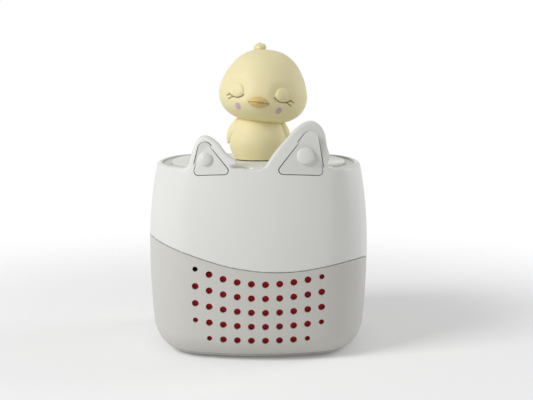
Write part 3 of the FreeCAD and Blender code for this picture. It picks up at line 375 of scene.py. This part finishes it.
def finish_with(piece: bpy.types.Object, kind: str, **settings) -> None:
    """Adds a modifier and applies it.

    Args:
        piece: the object whose mesh changes.
        kind: the modifier's type name.
        settings: the modifier's attributes.
    """
    pick(piece)
    modifier = piece.modifiers.new(kind.lower(), kind)
    for key, value in settings.items():
        setattr(modifier, key, value)
    bpy.ops.object.modifier_apply(modifier=modifier.name)


def joined(parts: Sequence[bpy.types.Object]) -> bpy.types.Object:
    """Joins pieces into the first of them.

    Args:
        parts: the pieces; the first one gives the mesh its name.

    Returns:
        The first piece, which now holds all the meshes.
    """
    bpy.ops.object.select_all(action="DESELECT")
    for part in parts:
        part.select_set(True)
    bpy.context.view_layer.objects.active = parts[0]
    bpy.ops.object.join()
    return parts[0]


def smooth(piece: bpy.types.Object, angle_deg: float) -> None:
    """Smooth shading that keeps edges sharper than an angle.

    Args:
        piece: the object to shade.
        angle_deg: faces that meet at more than this stay sharp, in degrees.
    """
    pick(piece)
    bpy.ops.object.shade_smooth_by_angle(angle=math.radians(angle_deg))


def merged_copy(node: str, name: str) -> bpy.types.Object:
    """Copy of a CAD node's mesh with its loose triangles merged.

    Args:
        node: the CAD node's name.
        name: the copy's name.

    Returns:
        The copy; the node's own mesh stays as it was.
    """
    piece = bpy.data.objects.new(name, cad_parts[node].data.copy())
    piece.data.name = name
    bpy.context.scene.collection.objects.link(piece)
    for key in [a.name for a in piece.data.attributes if a.name == "custom_normal"]:
        piece.data.attributes.remove(piece.data.attributes[key])
    with editing(piece):
        bpy.ops.mesh.select_all(action="SELECT")
        bpy.ops.mesh.remove_doubles(threshold=0.001 * MM)
        bpy.ops.mesh.dissolve_limited(angle_limit=math.radians(0.2))
    return piece


def seat(piece: bpy.types.Object, body: Body, replaces: Sequence[str] = ()) -> None:
    """Rides a piece on its body and hides the CAD nodes that it stands for.

    Args:
        piece: the finished piece.
        body: the body that carries it.
        replaces: the CAD nodes that it stands for.
    """
    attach(piece, body.value)
    if replaces:
        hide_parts(*replaces)
    LOG.info("%s rides on %s", piece.name, body.value)


# Housing


@dataclass(frozen=True)
class EarOpening:
    """Rounded triangle that is cut through an ear, in millimetres as seen from the front.

    Attributes:
        button: CAD node of the ear's button.
        name: name of the piece that shows it.
        body: the body that carries the button.
        corners: the triangle's corners.
        cover: corners of the recess for the ear's back cover.
        radii: the radius of each corner.
        dome: middle of the round dome.
        dome_r: radius of the dome.
    """

    button: str
    name: str
    body: Body
    corners: tuple
    cover: tuple
    radii: tuple
    dome: tuple
    dome_r: float


EAR_OPENINGS: tuple[EarOpening, ...] = (
    EarOpening("volume_up_button", "big_ear_button", Body.VOLUME_UP,
               ((8.4, 96.8), (28.2, 123.2), (32.7, 96.8)), ((11.8, 101.4), (27.4, 121.7), (32.4, 101.4)),
               (2.0, 3.2, 2.0), (23.7, 105.4), 4.35),
    EarOpening("volume_down_button", "small_ear_button", Body.VOLUME_DOWN,
               ((-33.1, 96.8), (-28.6, 116.4), (-13.6, 96.8)),
               ((-32.8, 101.4), (-27.9, 114.7), (-17.6, 101.4)),
               (2.2, 2.6, 1.8), (-26.3, 103.6), 3.05),
)


@dataclass
class UpperShell:
    """Light upper housing: the CAD shell with its ears rounded over and its pockets cut afresh."""

    shop: PaintShop
    voxel_mm: float = 0.45
    quick_voxel_mm: float = 0.9
    ear_smoothing: int = 24
    triangles: int = 180000
    ears: tuple = ((0.8, 38.2), (-37.4, -7.2))
    gap_mm: float = 0.45
    room_mm: float = 1.3
    skin_mm: float = 2.2
    flange_mm: float = 0.85
    dome_mm: float = 1.0
    lean_deg: float = 13.5
    front_y: float = -64.0
    front_lift: float = 2.16
    plug_grow: tuple = (1.06, 1.05)
    corner_steps: int = 8
    outside_mm: float = -2.0
    room_end_mm: float = 6.5
    cover_start_mm: float = 6.3
    cover_end_mm: float = 12.0
    cover_gap_mm: float = 0.05
    ear_foot_z: float = 97.1
    ear_back_y: float = -42.0
    ear_fade_mm: tuple = (4.0, 3.0, 3.5)

    def plug(self, button: str) -> bpy.types.Object:
        """The button grown sideways, to fill most of its opening before the shell is remeshed."""
        piece = merged_copy(button, button + "_plug")
        low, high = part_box(button)
        centre = (low + high) / 2
        for vert in piece.data.vertices:
            away = vert.co - centre
            vert.co = centre + Vector((away.x * self.plug_grow[0], away.y, away.z * self.plug_grow[1]))
        return piece

    def outline(self, corners: tuple, radii: tuple, grow: float) -> list[Vector]:
        """Points of a rounded triangle in the XZ plane, grown outwards.

        Args:
            corners: the triangle's corners, in millimetres.
            radii: the radius of each corner.
            grow: how far outwards the outline moves.

        Returns:
            The outline's points, in millimetres.
        """
        points = []
        spots = [Vector((x, 0, z)) for x, z in corners]
        for i, (spot, radius) in enumerate(zip(spots, radii)):
            before = (spots[i - 1] - spot).normalized()
            after = (spots[(i + 1) % len(spots)] - spot).normalized()
            half = before.angle(after) / 2
            centre = spot + (before + after).normalized() * radius / math.sin(half)
            first = (spot + before * radius / math.tan(half) - centre).normalized()
            last = (spot + after * radius / math.tan(half) - centre).normalized()
            for step in range(self.corner_steps + 1):
                way = first.slerp(last, step / self.corner_steps)
                points.append(centre + way * (radius + grow))
        return points

    def press(self) -> Vector:
        """Direction that the ear buttons are pressed in."""
        lean = math.radians(self.lean_deg)
        return Vector((0, math.cos(lean), -math.sin(lean)))

    def cutter(self, points: list[Vector], start: float, end: float) -> bpy.types.Object:
        """Prism of an outline along the press direction.

        Args:
            points: the outline, in millimetres.
            start: depth where the prism begins, from the front plane.
            end: depth where it ends.

        Returns:
            The closed prism.
        """
        lift = Vector((0, self.front_y, self.front_lift))
        bpy.ops.mesh.primitive_circle_add(vertices=len(points), radius=1, fill_type="NGON")
        prism = bpy.context.object
        for vert, point in zip(prism.data.vertices, points):
            vert.co = (point + lift + self.press() * start) * MM
        with editing(prism):
            bpy.ops.mesh.select_all(action="SELECT")
            bpy.ops.mesh.extrude_region_move(
                TRANSFORM_OT_translate={"value": self.press() * (end - start) * MM})
            bpy.ops.mesh.select_all(action="SELECT")
            bpy.ops.mesh.normals_make_consistent(inside=False)
        return prism

    def carved(self, shell: bpy.types.Object, prism: bpy.types.Object, operation: str) -> None:
        """Cuts a shell with a prism, or keeps what the two share, and removes the prism."""
        finish_with(shell, "BOOLEAN", operation=operation, object=prism, solver="MANIFOLD")
        bpy.data.objects.remove(prism)

    def ear_button(self, shell: bpy.types.Object, opening: EarOpening, face: float) -> None:
        """Makes a button from the ear's own skin, with its flange and its round dome.

        Args:
            shell: the closed shell, before its pockets are cut.
            opening: the ear's opening.
            face: depth of the ear's face, in millimetres from the front plane.
        """
        button = bpy.data.objects.new(opening.name, shell.data.copy())
        bpy.context.scene.collection.objects.link(button)
        inside = face + self.skin_mm
        cap = self.cutter(self.outline(opening.corners, opening.radii, 0.0), self.outside_mm, inside + 0.4)
        self.carved(button, cap, "INTERSECT")
        flange = self.cutter(self.outline(opening.corners, opening.radii, self.flange_mm), inside + 0.3,
                             inside + 0.9)
        seat_at = Vector((opening.dome[0], self.front_y, opening.dome[1])) - self.press() * 2
        _, spot, _, _ = shell.ray_cast(seat_at * MM, Vector((0, 1, 0)))
        dome = round_blank(opening.name + "_dome", 5)
        turn = Vector((0, 1, 0)).rotation_difference(self.press()).to_matrix()
        for vert in dome.data.vertices:
            x, y, z = vert.co
            vert.co = spot + turn @ Vector((x * opening.dome_r, y * self.dome_mm, z * opening.dome_r)) * MM
        self.carved(button, dome, "UNION")
        self.carved(button, flange, "UNION")
        smooth(button, 40)
        self.shop.dress(button, "button")
        seat(button, opening.body, [opening.button])

    def cut_pockets(self, shell: bpy.types.Object) -> None:
        """Cuts each ear's opening, the room behind it and the recess of its back cover."""
        for opening in EAR_OPENINGS:
            middle = sum((Vector((x, 0, z)) for x, z in opening.corners), Vector()) / 3
            start = (middle + Vector((0, self.front_y, self.front_lift))) * MM
            _, place, _, _ = shell.ray_cast(start, self.press())
            face = (place - start).length / MM
            self.ear_button(shell, opening, face)
            inside = face + self.skin_mm
            pockets = ((opening.corners, self.gap_mm, self.outside_mm, inside + 0.1),
                       (opening.corners, self.room_mm, inside, face + self.room_end_mm),
                       (opening.cover, self.cover_gap_mm, face + self.cover_start_mm,
                        face + self.cover_end_mm))
            for corners, grow, first, last in pockets:
                outline = self.outline(corners, opening.radii, grow)
                self.carved(shell, self.cutter(outline, first, last), "DIFFERENCE")

    def build(self) -> bpy.types.Object:
        """Makes, dresses and seats the shell."""
        shell = merged_copy("upper_shell", "upper_housing")
        parts = [shell] + [merged_copy(n, n + "_plug") for n in ("big_ear_back", "small_ear_back")]
        parts += [self.plug(opening.button) for opening in EAR_OPENINGS]
        joined(parts)
        voxel_mm = self.voxel_mm
        finish_with(shell, "REMESH", mode="VOXEL", voxel_size=voxel_mm * MM)
        self.round_ears(shell, self.ear_smoothing // (1))
        count = sum(len(p.vertices) - 2 for p in shell.data.polygons)
        if count > self.triangles:
            finish_with(shell, "DECIMATE", ratio=self.triangles / count)
        self.cut_pockets(shell)
        smooth(shell, 50)
        self.shop.dress(shell, "shell")
        seat(shell, Body.HOUSING, ["upper_shell"])
        return shell

    def round_ears(self, shell: bpy.types.Object, rounds: int) -> None:
        """Smooths the ears and their flares, and nothing else."""
        group = shell.vertex_groups.new(name="ear_edges")
        beside, behind, above = self.ear_fade_mm
        for vert in shell.data.vertices:
            x, y, z = (c / MM for c in vert.co)
            side = max(min((x - a + beside) / beside, (b + beside - x) / beside) for a, b in self.ears)
            weight = min(side, (self.ear_back_y - y) / behind, (z - self.ear_foot_z) / above, 1.0)
            if weight > 0:
                group.add([vert.index], weight, "REPLACE")
        finish_with(shell, "SMOOTH", factor=0.5, iterations=rounds, vertex_group=group.name)


@dataclass(frozen=True)
class SoftEdged:
    """A moulded piece that keeps its CAD shape and gets small rounded edges."""

    node: str
    name: str
    finish: str
    slot: str
    body: Body
    edge_mm: float
    segments: int = 3


SOFT_EDGED: tuple[SoftEdged, ...] = (
    SoftEdged("big_ear_back", "big_ear_cover", "shell", "shell_light", Body.HOUSING, 0.25),
    SoftEdged("small_ear_back", "small_ear_cover", "shell", "shell_light", Body.HOUSING, 0.25),
    SoftEdged("top_plate", "standing_plate", "plate", "shell_light", Body.HOUSING, 0.1),
    SoftEdged("top_ring", "recessed_ring", "ring", "shell_greige", Body.HOUSING, 0.25),
    SoftEdged("power_button", "power_key", "greige", "shell_greige", Body.POWER, 0.35),
    SoftEdged("rubber_feet", "feet", "rubber", "foot_rubber", Body.HOUSING, 0.3),
)

NODE_FINISHES: dict[str, tuple[str, ...]] = {
    "greige": ("lower_housing", "bottom_cover"),
    # figure_base is black as well: the dark line it draws under the figure is partly painted shadow
    "black": ("speaker_baffle", "speaker_frame", "battery_holder", "volume_up_switch", "volume_down_switch",
              "power_switch", "headphone_jack", "board_chips", "figure_base", "figure_tag"),
    "lens": ("light_pipe", "status_led"),
    "mask": ("main_board", "reader_board", "volume_up_board", "volume_down_board"),
    "steel": ("housing_screws", "baffle_screws", "speaker_screws", "board_screws", "reader_screws",
              "charging_socket", "docking_magnet", "figure_magnet"),
    "ferrite": ("speaker_magnet",),
    "cone": ("speaker_cone", "dust_cap"),
    "copper": ("voice_coil",),
    "rubber": ("speaker_surround",),
    "wrap": ("battery_cell",),
    "lead": ("battery_lead", "speaker_lead", "reader_lead"),
}


@dataclass
class Mouldings:
    """The housing's smaller mouldings and the pieces inside it."""

    shop: PaintShop

    def build(self) -> None:
        """Softens the visible pieces and dresses the rest."""
        for spec in SOFT_EDGED:
            piece = merged_copy(spec.node, spec.name)
            finish_with(piece, "BEVEL", width=spec.edge_mm * MM, segments=spec.segments, limit_method="ANGLE",
                        angle_limit=math.radians(40), harden_normals=False)
            smooth(piece, 35)
            self.shop.dress(piece, spec.finish)
            seat(piece, spec.body, [spec.node])
        for finish, nodes in NODE_FINISHES.items():
            for node in nodes:
                self.shop.dress(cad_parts[node], finish)
                LOG.info("%s keeps its CAD shape in %s", node, finish)


@dataclass
class GrilleCloth:
    """Red cloth stretched behind the grille, following the wall's inside."""

    shop: PaintShop
    cell_mm: float = 1.0
    raised_mm: float = 2.6
    width_share: float = 0.98
    thickness_mm: float = 0.3
    clear_mm: float = 0.1
    facing: float = -0.7
    start_y: float = -0.1

    def build(self) -> bpy.types.Object:
        """Makes the sheet on the CAD cloth's front, raised a little at the top.

        Returns:
            The sheet, shaped as a stretched cloth.
        """
        low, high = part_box("speaker_cloth")
        width, height = high.x - low.x, high.z - low.z
        bpy.ops.mesh.primitive_plane_add(size=1)
        sheet = bpy.context.object
        sheet.name = "speaker_cloth_sheet"
        with editing(sheet):
            bpy.ops.mesh.select_all(action="SELECT")
            bpy.ops.mesh.subdivide(number_cuts=int(width / MM / self.cell_mm))
        solid = merged_copy("speaker_cloth", "cloth_former")
        held, loose = KDTree(len(sheet.data.vertices)), []
        middle, tall = (low.z + high.z) / 2 + self.raised_mm * MM, height + self.raised_mm * MM
        for vert in sheet.data.vertices:
            x, z = vert.co.x * width * self.width_share, middle + vert.co.y * tall
            hit, place, normal, _ = solid.ray_cast(Vector((x, self.start_y, z)), Vector((0, 1, 0)))
            vert.co = Vector((x, place.y + self.clear_mm * MM if hit else 0, z))
            if hit and normal.y < self.facing:
                held.insert(Vector((x, 0, z)), vert.index)
            else:
                loose.append(vert)
        held.balance()
        for vert in loose:
            near = held.find(Vector((vert.co.x, 0, vert.co.z)))[1]
            vert.co.y = sheet.data.vertices[near].co.y
        bpy.data.objects.remove(solid)
        finish_with(sheet, "SMOOTH", factor=0.5, iterations=6)
        finish_with(sheet, "SOLIDIFY", thickness=self.thickness_mm * MM, offset=-1.0)
        smooth(sheet, 60)
        self.shop.dress(sheet, "cloth")
        seat(sheet, Body.HOUSING, ["speaker_cloth"])
        return sheet


# Duckling figure


def curve_through(points: Sequence[tuple[float, float]], at: float) -> float:
    """Catmull-Rom value of a function given by points.

    Args:
        points: pairs of place and value, places rising.
        at: the place that is asked for.

    Returns:
        The value there.
    """
    last = len(points) - 2
    index = next((i for i in range(last + 1) if at <= points[i + 1][0]), last)
    before, after = max(index - 1, 0), min(index + 2, last + 1)
    (x0, y0), (x1, y1), (x2, y2), (x3, y3) = (points[i] for i in (before, index, index + 1, after))
    share = (at - x1) / (x2 - x1)
    slope_a = (y2 - y0) / (x2 - x0) * (x2 - x1)
    slope_b = (y3 - y1) / (x3 - x1) * (x2 - x1)
    cube, square = share ** 3, share ** 2
    return ((2 * cube - 3 * square + 1) * y1 + (cube - 2 * square + share) * slope_a
            + (3 * square - 2 * cube) * y2 + (cube - square) * slope_b)


def near_line(points: Sequence[tuple[float, float]], u: float, v: float) -> float:
    """Distance from a place to a line of points.

    Args:
        points: the line's points.
        u: first number of the place.
        v: second number of the place.

    Returns:
        The shortest distance to the line.
    """
    best = math.inf
    for (au, av), (bu, bv) in zip(points, points[1:]):
        du, dv = bu - au, bv - av
        share = min(max(((u - au) * du + (v - av) * dv) / (du * du + dv * dv), 0.0), 1.0)
        best = min(best, math.hypot(u - au - share * du, v - av - share * dv))
    return best


def round_blank(name: str, levels: int) -> bpy.types.Object:
    """Evenly meshed ball of radius 1, from a cube that is subdivided and cast round.

    Args:
        name: the ball's name.
        levels: how many times the cube is subdivided.

    Returns:
        The ball, at the origin.
    """
    bpy.ops.mesh.primitive_cube_add(size=2)
    blank = bpy.context.object
    blank.name = name
    finish_with(blank, "SUBSURF", levels=levels, render_levels=levels)
    for vert in blank.data.vertices:
        vert.co = vert.co.normalized()
    return blank


@dataclass
class Duckling:
    """Vinyl duckling: head with closed eyes, beak, tuft, body and wings."""

    shop: PaintShop
    base_z: float = 99.95
    head_up: float = 20.0
    head_x: float = 0.8
    tilt_deg: float = 6.4
    yaw_deg: float = -5.4
    centre_z: float = 18.0
    profile: tuple = ((0.0, 0.0), (10.2, 1.1), (17.8, 4.0), (22.4, 8.6), (24.3, 15.2), (23.2, 21.6),
                      (20.1, 28.8), (15.2, 35.2), (8.6, 39.3), (0.0, 40.6))
    lid: tuple = (13.0, 16.9)
    lid_r: float = 4.0
    lid_h: float = 1.15
    socket_r: float = 5.6
    socket_depth: float = 1.1
    lash_lines: tuple = (((8.75, 15.1), (9.4, 14.35), (10.4, 13.7), (11.9, 13.15), (13.5, 13.0),
                          (15.1, 13.15), (16.65, 13.6), (17.8, 14.2), (18.7, 14.8)),
                         ((15.6, 13.25), (17.4, 12.6), (19.1, 11.7)), ((18.3, 14.45), (20.6, 13.5)))
    line_depth: float = 0.5
    line_r: float = 0.3
    cheek: tuple = (12.3, 8.65)
    cheek_r: float = 1.85
    beak_z: float = 11.35
    tuft_lobes: tuple = ((-6.3, 0.2, 41.0, 1.9), (-4.9, 0.9, 42.1, 1.9), (-3.2, -0.6, 41.6, 1.95),
                         (-4.6, -1.5, 40.9, 1.7))
    body_profile: tuple = ((0.0, 0.35), (12.9, 0.35), (13.35, 0.6), (13.3, 0.95), (13.6, 1.6), (15.0, 4.2),
                           (16.1, 8.0), (16.2, 11.0), (15.3, 15.0), (13.6, 19.0), (11.6, 22.4), (9.6, 24.4),
                           (5.0, 25.8), (0.0, 26.0))
    beak_back: float = 20.6
    beak_wide: float = 6.6
    beak_high: tuple = (3.5, 3.0)
    beak_long: tuple = (7.6, 7.0)
    beak_lift: float = 0.45
    wing_size: tuple = (2.2, 5.6, 7.8)
    wing_at: tuple = (14.6, 0.4, 16.2)
    wing_lean_deg: float = 23.0

    def place_on_body(self) -> Matrix:
        """From the head's own frame, in millimetres, to the row frame."""
        at = Matrix.Translation(Vector((self.head_x, 0, self.base_z + self.head_up)) * MM)
        return at @ Matrix.Rotation(math.radians(self.tilt_deg), 4, "Y") @ Matrix.Scale(MM, 4)

    def radius(self, direction: Vector) -> float:
        """Distance from the head's middle to its surface in a direction."""
        table = sorted((math.atan2(r, self.centre_z - z), math.hypot(r, z - self.centre_z))
                       for r, z in self.profile)
        table = [(-table[1][0], table[1][1])] + table + [(2 * math.pi - table[-2][0], table[-2][1])]
        return curve_through(table, math.atan2(math.hypot(direction.x, direction.y), -direction.z))

    def face_place(self, point: Vector) -> tuple[float, float]:
        """Millimetres sideways from the beak, along the surface, and up."""
        turn = math.atan2(point.x, -point.y) - math.radians(self.yaw_deg)
        return turn * 24.0, point.z

    def carve(self, u: float, z: float) -> tuple[float, float, float]:
        """What the carving does at a place on the face.

        Args:
            u: millimetres sideways from the beak, along the surface.
            z: millimetres up.

        Returns:
            The height change in millimetres, and the shares of line and blush.
        """
        side = abs(u)
        reach = math.hypot(side - self.lid[0], z - self.lid[1])
        wide = math.hypot((side - self.lid[0] + 0.6) / 1.15, z - self.lid[1] - 0.4)
        height = -self.socket_depth * math.exp(-(wide / self.socket_r) ** 4)
        if reach < self.lid_r:
            height += self.lid_h * math.sqrt(1 - (reach / self.lid_r) ** 2)
        gap = min(near_line(line, side, z) for line in self.lash_lines)
        line = math.exp(-(gap / self.line_r) ** 2)
        inside = self.cheek_r - math.hypot(side - self.cheek[0], z - self.cheek[1])
        blush = min(max(inside / 0.12 + 0.5, 0.0), 1.0)
        return height - self.line_depth * line, line, blush

    def head(self) -> bpy.types.Object:
        """Broad head, carved where it is fine enough to hold the lines."""
        piece = round_blank("duckling_head", 6)
        with editing(piece, "FACE"):
            select_verts(piece, lambda c: c.y < -0.3 and abs(c.x + 0.09) < 0.9 and -0.52 < c.z < 0.2)
            bpy.ops.mesh.subdivide(number_cuts=3)
        mesh = piece.data
        lines = mesh.attributes.new("line", "FLOAT", "POINT")
        blushes = mesh.attributes.new("blush", "FLOAT", "POINT")
        place = self.place_on_body()
        for vert in mesh.vertices:
            way = vert.co.normalized()
            point = way * self.radius(way) + Vector((0, 0, self.centre_z))
            if point.y < -4 and 4 < point.z < 26:
                height, line, blush = self.carve(*self.face_place(point))
                point += way * height
                lines.data[vert.index].value = line
                blushes.data[vert.index].value = blush
            vert.co = place @ point
        smooth(piece, 80)
        self.shop.dress(piece, "face")
        seat(piece, Body.FIGURE, ["figure_head"])
        return piece

    def beak(self) -> bpy.types.Object:
        """Two halves of the beak, with the dividing line and fine folds at the corners, both darkened with
        painted shade.
        """
        piece = round_blank("duckling_beak", 6)
        lines = piece.data.attributes.new("line", "FLOAT", "POINT")
        piece.data.attributes.new("blush", "FLOAT", "POINT")
        turn = Matrix.Rotation(math.radians(self.yaw_deg), 4, "Z")
        place = self.place_on_body() @ turn @ Matrix.Translation((0, -self.beak_back, self.beak_z))
        for vert in piece.data.vertices:
            x, y, z = vert.co
            taper = 1 - 0.55 * abs(x) ** 2.2
            half = 0 if z > 0 else 1
            point = Vector((self.beak_wide * x, self.beak_long[half] * y * (1 - 0.25 * abs(x) ** 2),
                            self.beak_high[half] * z * taper + self.beak_lift))
            part = abs(point.z - 0.55 - 0.25 * math.cos(point.x * 0.5))
            fold = max(abs(x) - 0.55, 0.0) * 2.0 * (0.5 + 0.5 * math.cos(point.z * 7.0))
            line = math.exp(-(part / 0.28) ** 2)
            point.y += 0.55 * line + 0.25 * fold
            # The line share darkens the groove and the folds: painted shade
            lines.data[vert.index].value = min(0.75 * line + 0.35 * fold, 1.0)
            vert.co = place @ point
        smooth(piece, 80)
        self.shop.dress(piece, "beak")
        seat(piece, Body.FIGURE, ["figure_beak"])
        return piece

    def tuft(self) -> bpy.types.Object:
        """Small tuft of round lobes on the crown, grown together."""
        place = self.place_on_body()
        lobes = []
        for x, y, z, radius in self.tuft_lobes:
            lobe = round_blank("duckling_tuft", 4)
            for vert in lobe.data.vertices:
                vert.co = place @ (vert.co * radius + Vector((x, y, z)))
            lobes.append(lobe)
        piece = joined(lobes)
        finish_with(piece, "REMESH", mode="VOXEL", voxel_size=0.15 * MM)
        finish_with(piece, "SMOOTH", factor=0.5, iterations=8)
        smooth(piece, 80)
        self.shop.dress(piece, "vinyl")
        piece.name = "duckling_tuft"
        seat(piece, Body.FIGURE, ["figure_tuft"])
        return piece

    def body(self) -> bpy.types.Object:
        """Egg-shaped body spun from its profile."""
        bpy.ops.mesh.primitive_circle_add(vertices=len(self.body_profile), radius=1)
        piece = bpy.context.object
        piece.name = "duckling_body"
        mesh = bmesh.new()
        verts = [mesh.verts.new((r * MM, 0, (self.base_z + z) * MM)) for r, z in self.body_profile]
        for first, second in zip(verts, verts[1:]):
            mesh.edges.new((first, second))
        mesh.to_mesh(piece.data)
        mesh.free()
        with editing(piece):
            bpy.ops.mesh.select_all(action="SELECT")
            bpy.ops.mesh.spin(steps=96, angle=2 * math.pi, center=(0, 0, 0), axis=(0, 0, 1))
            bpy.ops.mesh.select_all(action="SELECT")
            bpy.ops.mesh.remove_doubles(threshold=0.01 * MM)
            bpy.ops.mesh.normals_make_consistent(inside=False)
        finish_with(piece, "SUBSURF", levels=2, render_levels=2)
        smooth(piece, 60)
        self.shop.dress(piece, "vinyl")
        seat(piece, Body.FIGURE, ["figure_body"])
        return piece

    def wings(self) -> bpy.types.Object:
        """Two folded wings that lie against the body."""
        pair = []
        for side in (-1, 1):
            wing = round_blank("duckling_wings", 5)
            shoulder = Vector((side * self.wing_at[0], self.wing_at[1], self.base_z + self.wing_at[2]))
            for vert in wing.data.vertices:
                x, y, z = vert.co
                width = 1 - 0.35 * max(-z, 0.0) ** 2 - 0.15 * max(z, 0.0)
                local = Vector((x * self.wing_size[0] * width, y * self.wing_size[1] * width,
                                z * self.wing_size[2]))
                local.x += -0.012 * local.z ** 2 - 0.03 * local.y ** 2
                lean = Matrix.Rotation(math.radians(-side * self.wing_lean_deg), 3, "Y")
                local.x *= side
                vert.co = (lean @ local + shoulder) * MM
            pair.append(wing)
        piece = joined(pair)
        with editing(piece):
            bpy.ops.mesh.select_all(action="SELECT")
            bpy.ops.mesh.normals_make_consistent(inside=False)
        smooth(piece, 80)
        piece.name = "duckling_wings"
        self.shop.dress(piece, "vinyl")
        seat(piece, Body.FIGURE, ["figure_wings"])
        return piece

    def build(self) -> None:
        """Makes every piece of the figure."""
        self.body()
        self.wings()
        self.head()
        self.beak()
        self.tuft()


# Studio


@dataclass(frozen=True)
class Lamp:
    """A soft box: where it is, what it looks at, its size and its power."""

    name: str
    place: tuple[float, float, float]
    size: float
    power: float


@dataclass
class Studio:
    """Camera, soft lamps, white world and floor."""

    lens_mm: float = 71.4
    camera_at: tuple = (0.0, -0.585, 0.1459)
    pitch_deg: float = 6.69
    shift_x: float = 0.015
    world_light: float = 0.4
    aim: tuple = (0.0, 0.0, 0.07)
    floor_size: float = 6.0
    floor_z: float = -0.0001
    floor_colour: tuple = (0.9, 0.9, 0.9, 1)
    floor_lift: float = 0.14
    floor_near: float = 0.12
    floor_far: float = 0.42
    lamps: tuple = (Lamp("key_upper_left", (-0.95, -0.65, 0.85), 0.6, 10.5),
                    Lamp("fill_right_back", (0.95, 0.35, 0.45), 0.5, 2.5))

    def camera(self) -> None:
        """Camera at the photograph's place."""
        data = bpy.data.cameras.new("camera")
        data.lens = self.lens_mm
        data.sensor_width = 36.0
        data.shift_x = self.shift_x
        data.clip_start = 0.01
        camera = bpy.data.objects.new("camera", data)
        camera.location = self.camera_at
        camera.rotation_euler = (math.radians(90 - self.pitch_deg), 0, 0)
        bpy.context.scene.collection.objects.link(camera)
        bpy.context.scene.camera = camera

    def background_share(self, tree: bpy.types.NodeTree) -> bpy.types.NodeSocket:
        """1 for rays that see the background from the camera, a gloss or a clear piece."""
        rays = add_node(tree, "ShaderNodeLightPath")
        seen = rays.outputs["Is Camera Ray"]
        for name in ("Is Glossy Ray", "Is Transmission Ray"):
            seen = add_node(tree, "ShaderNodeMath", {"operation": "MAXIMUM"},
                            {0: seen, 1: rays.outputs[name]}).outputs[0]
        return seen

    def world(self) -> None:
        """Even light all round, and a white background."""
        world = bpy.data.worlds.new("studio")
        bpy.context.scene.world = world
        world.use_nodes = True
        tree = world.node_tree
        tree.nodes.clear()
        light = add_node(tree, "ShaderNodeBackground", {"Color": WHITE, "Strength": self.world_light})
        white = add_node(tree, "ShaderNodeBackground", {"Color": WHITE, "Strength": 1.0})
        mix = add_node(tree, "ShaderNodeMixShader", None,
                       {0: self.background_share(tree), 1: light.outputs[0], 2: white.outputs[0]})
        add_node(tree, "ShaderNodeOutputWorld", None, {"Surface": mix.outputs[0]})

    def floor(self) -> None:
        """White floor that keeps the shadow near the piece and fades out for the camera further away."""
        bpy.ops.mesh.primitive_plane_add(size=self.floor_size, location=(0, 0, self.floor_z))
        floor = bpy.context.object
        floor.name = "floor"
        material = bpy.data.materials.new("white_paper_floor")
        material.use_nodes = True
        tree = material.node_tree
        tree.nodes.clear()
        matt = add_node(tree, "ShaderNodeBsdfDiffuse", {"Color": self.floor_colour})
        lift = add_node(tree, "ShaderNodeEmission", {"Color": WHITE, "Strength": self.floor_lift})
        none = add_node(tree, "ShaderNodeEmission", {"Strength": 0.0})
        seen = add_node(tree, "ShaderNodeMixShader", None,
                        {0: self.background_share(tree), 1: none.outputs[0], 2: lift.outputs[0]})
        both = add_node(tree, "ShaderNodeAddShader", None, {0: matt.outputs[0], 1: seen.outputs[0]})
        place = add_node(tree, "ShaderNodeTexCoord").outputs["Object"]
        away = add_node(tree, "ShaderNodeVectorMath", {"operation": "LENGTH"}, {0: place})
        fade = add_node(tree, "ShaderNodeMapRange",
                        {"interpolation_type": "SMOOTHSTEP", "From Min": self.floor_near,
                         "From Max": self.floor_far}, {"Value": away.outputs["Value"]})
        share = add_node(tree, "ShaderNodeMath", {"operation": "MULTIPLY"},
                         {0: fade.outputs["Result"], 1: self.background_share(tree)})
        clear = add_node(tree, "ShaderNodeBsdfTransparent")
        melt = add_node(tree, "ShaderNodeMixShader", None,
                        {0: share.outputs[0], 1: both.outputs[0], 2: clear.outputs[0]})
        add_node(tree, "ShaderNodeOutputMaterial", None, {"Surface": melt.outputs[0]})
        floor.data.materials.append(material)

    def light(self) -> None:
        """Hangs the soft boxes."""
        for lamp in self.lamps:
            data = bpy.data.lights.new(lamp.name, "AREA")
            data.shape = "SQUARE"
            data.size = lamp.size
            data.energy = lamp.power
            box = bpy.data.objects.new(lamp.name, data)
            box.location = lamp.place
            box.rotation_euler = (Vector(self.aim) - box.location).to_track_quat("-Z", "Y").to_euler()
            bpy.context.scene.collection.objects.link(box)

    def build(self) -> None:
        """Sets up the whole studio."""
        bpy.context.scene.view_settings.view_transform = "Standard"
        self.camera()
        self.world()
        self.floor()
        self.light()


def main() -> None:
    """Builds the studio and every piece."""
    logging.basicConfig(level=logging.INFO, format="%(name)s: %(message)s")
    shop = PaintShop()
    Studio().build()
    UpperShell(shop).build()
    Mouldings(shop).build()
    GrilleCloth(shop).build()
    Duckling(shop).build()


if __name__ == "__main__":
    main()
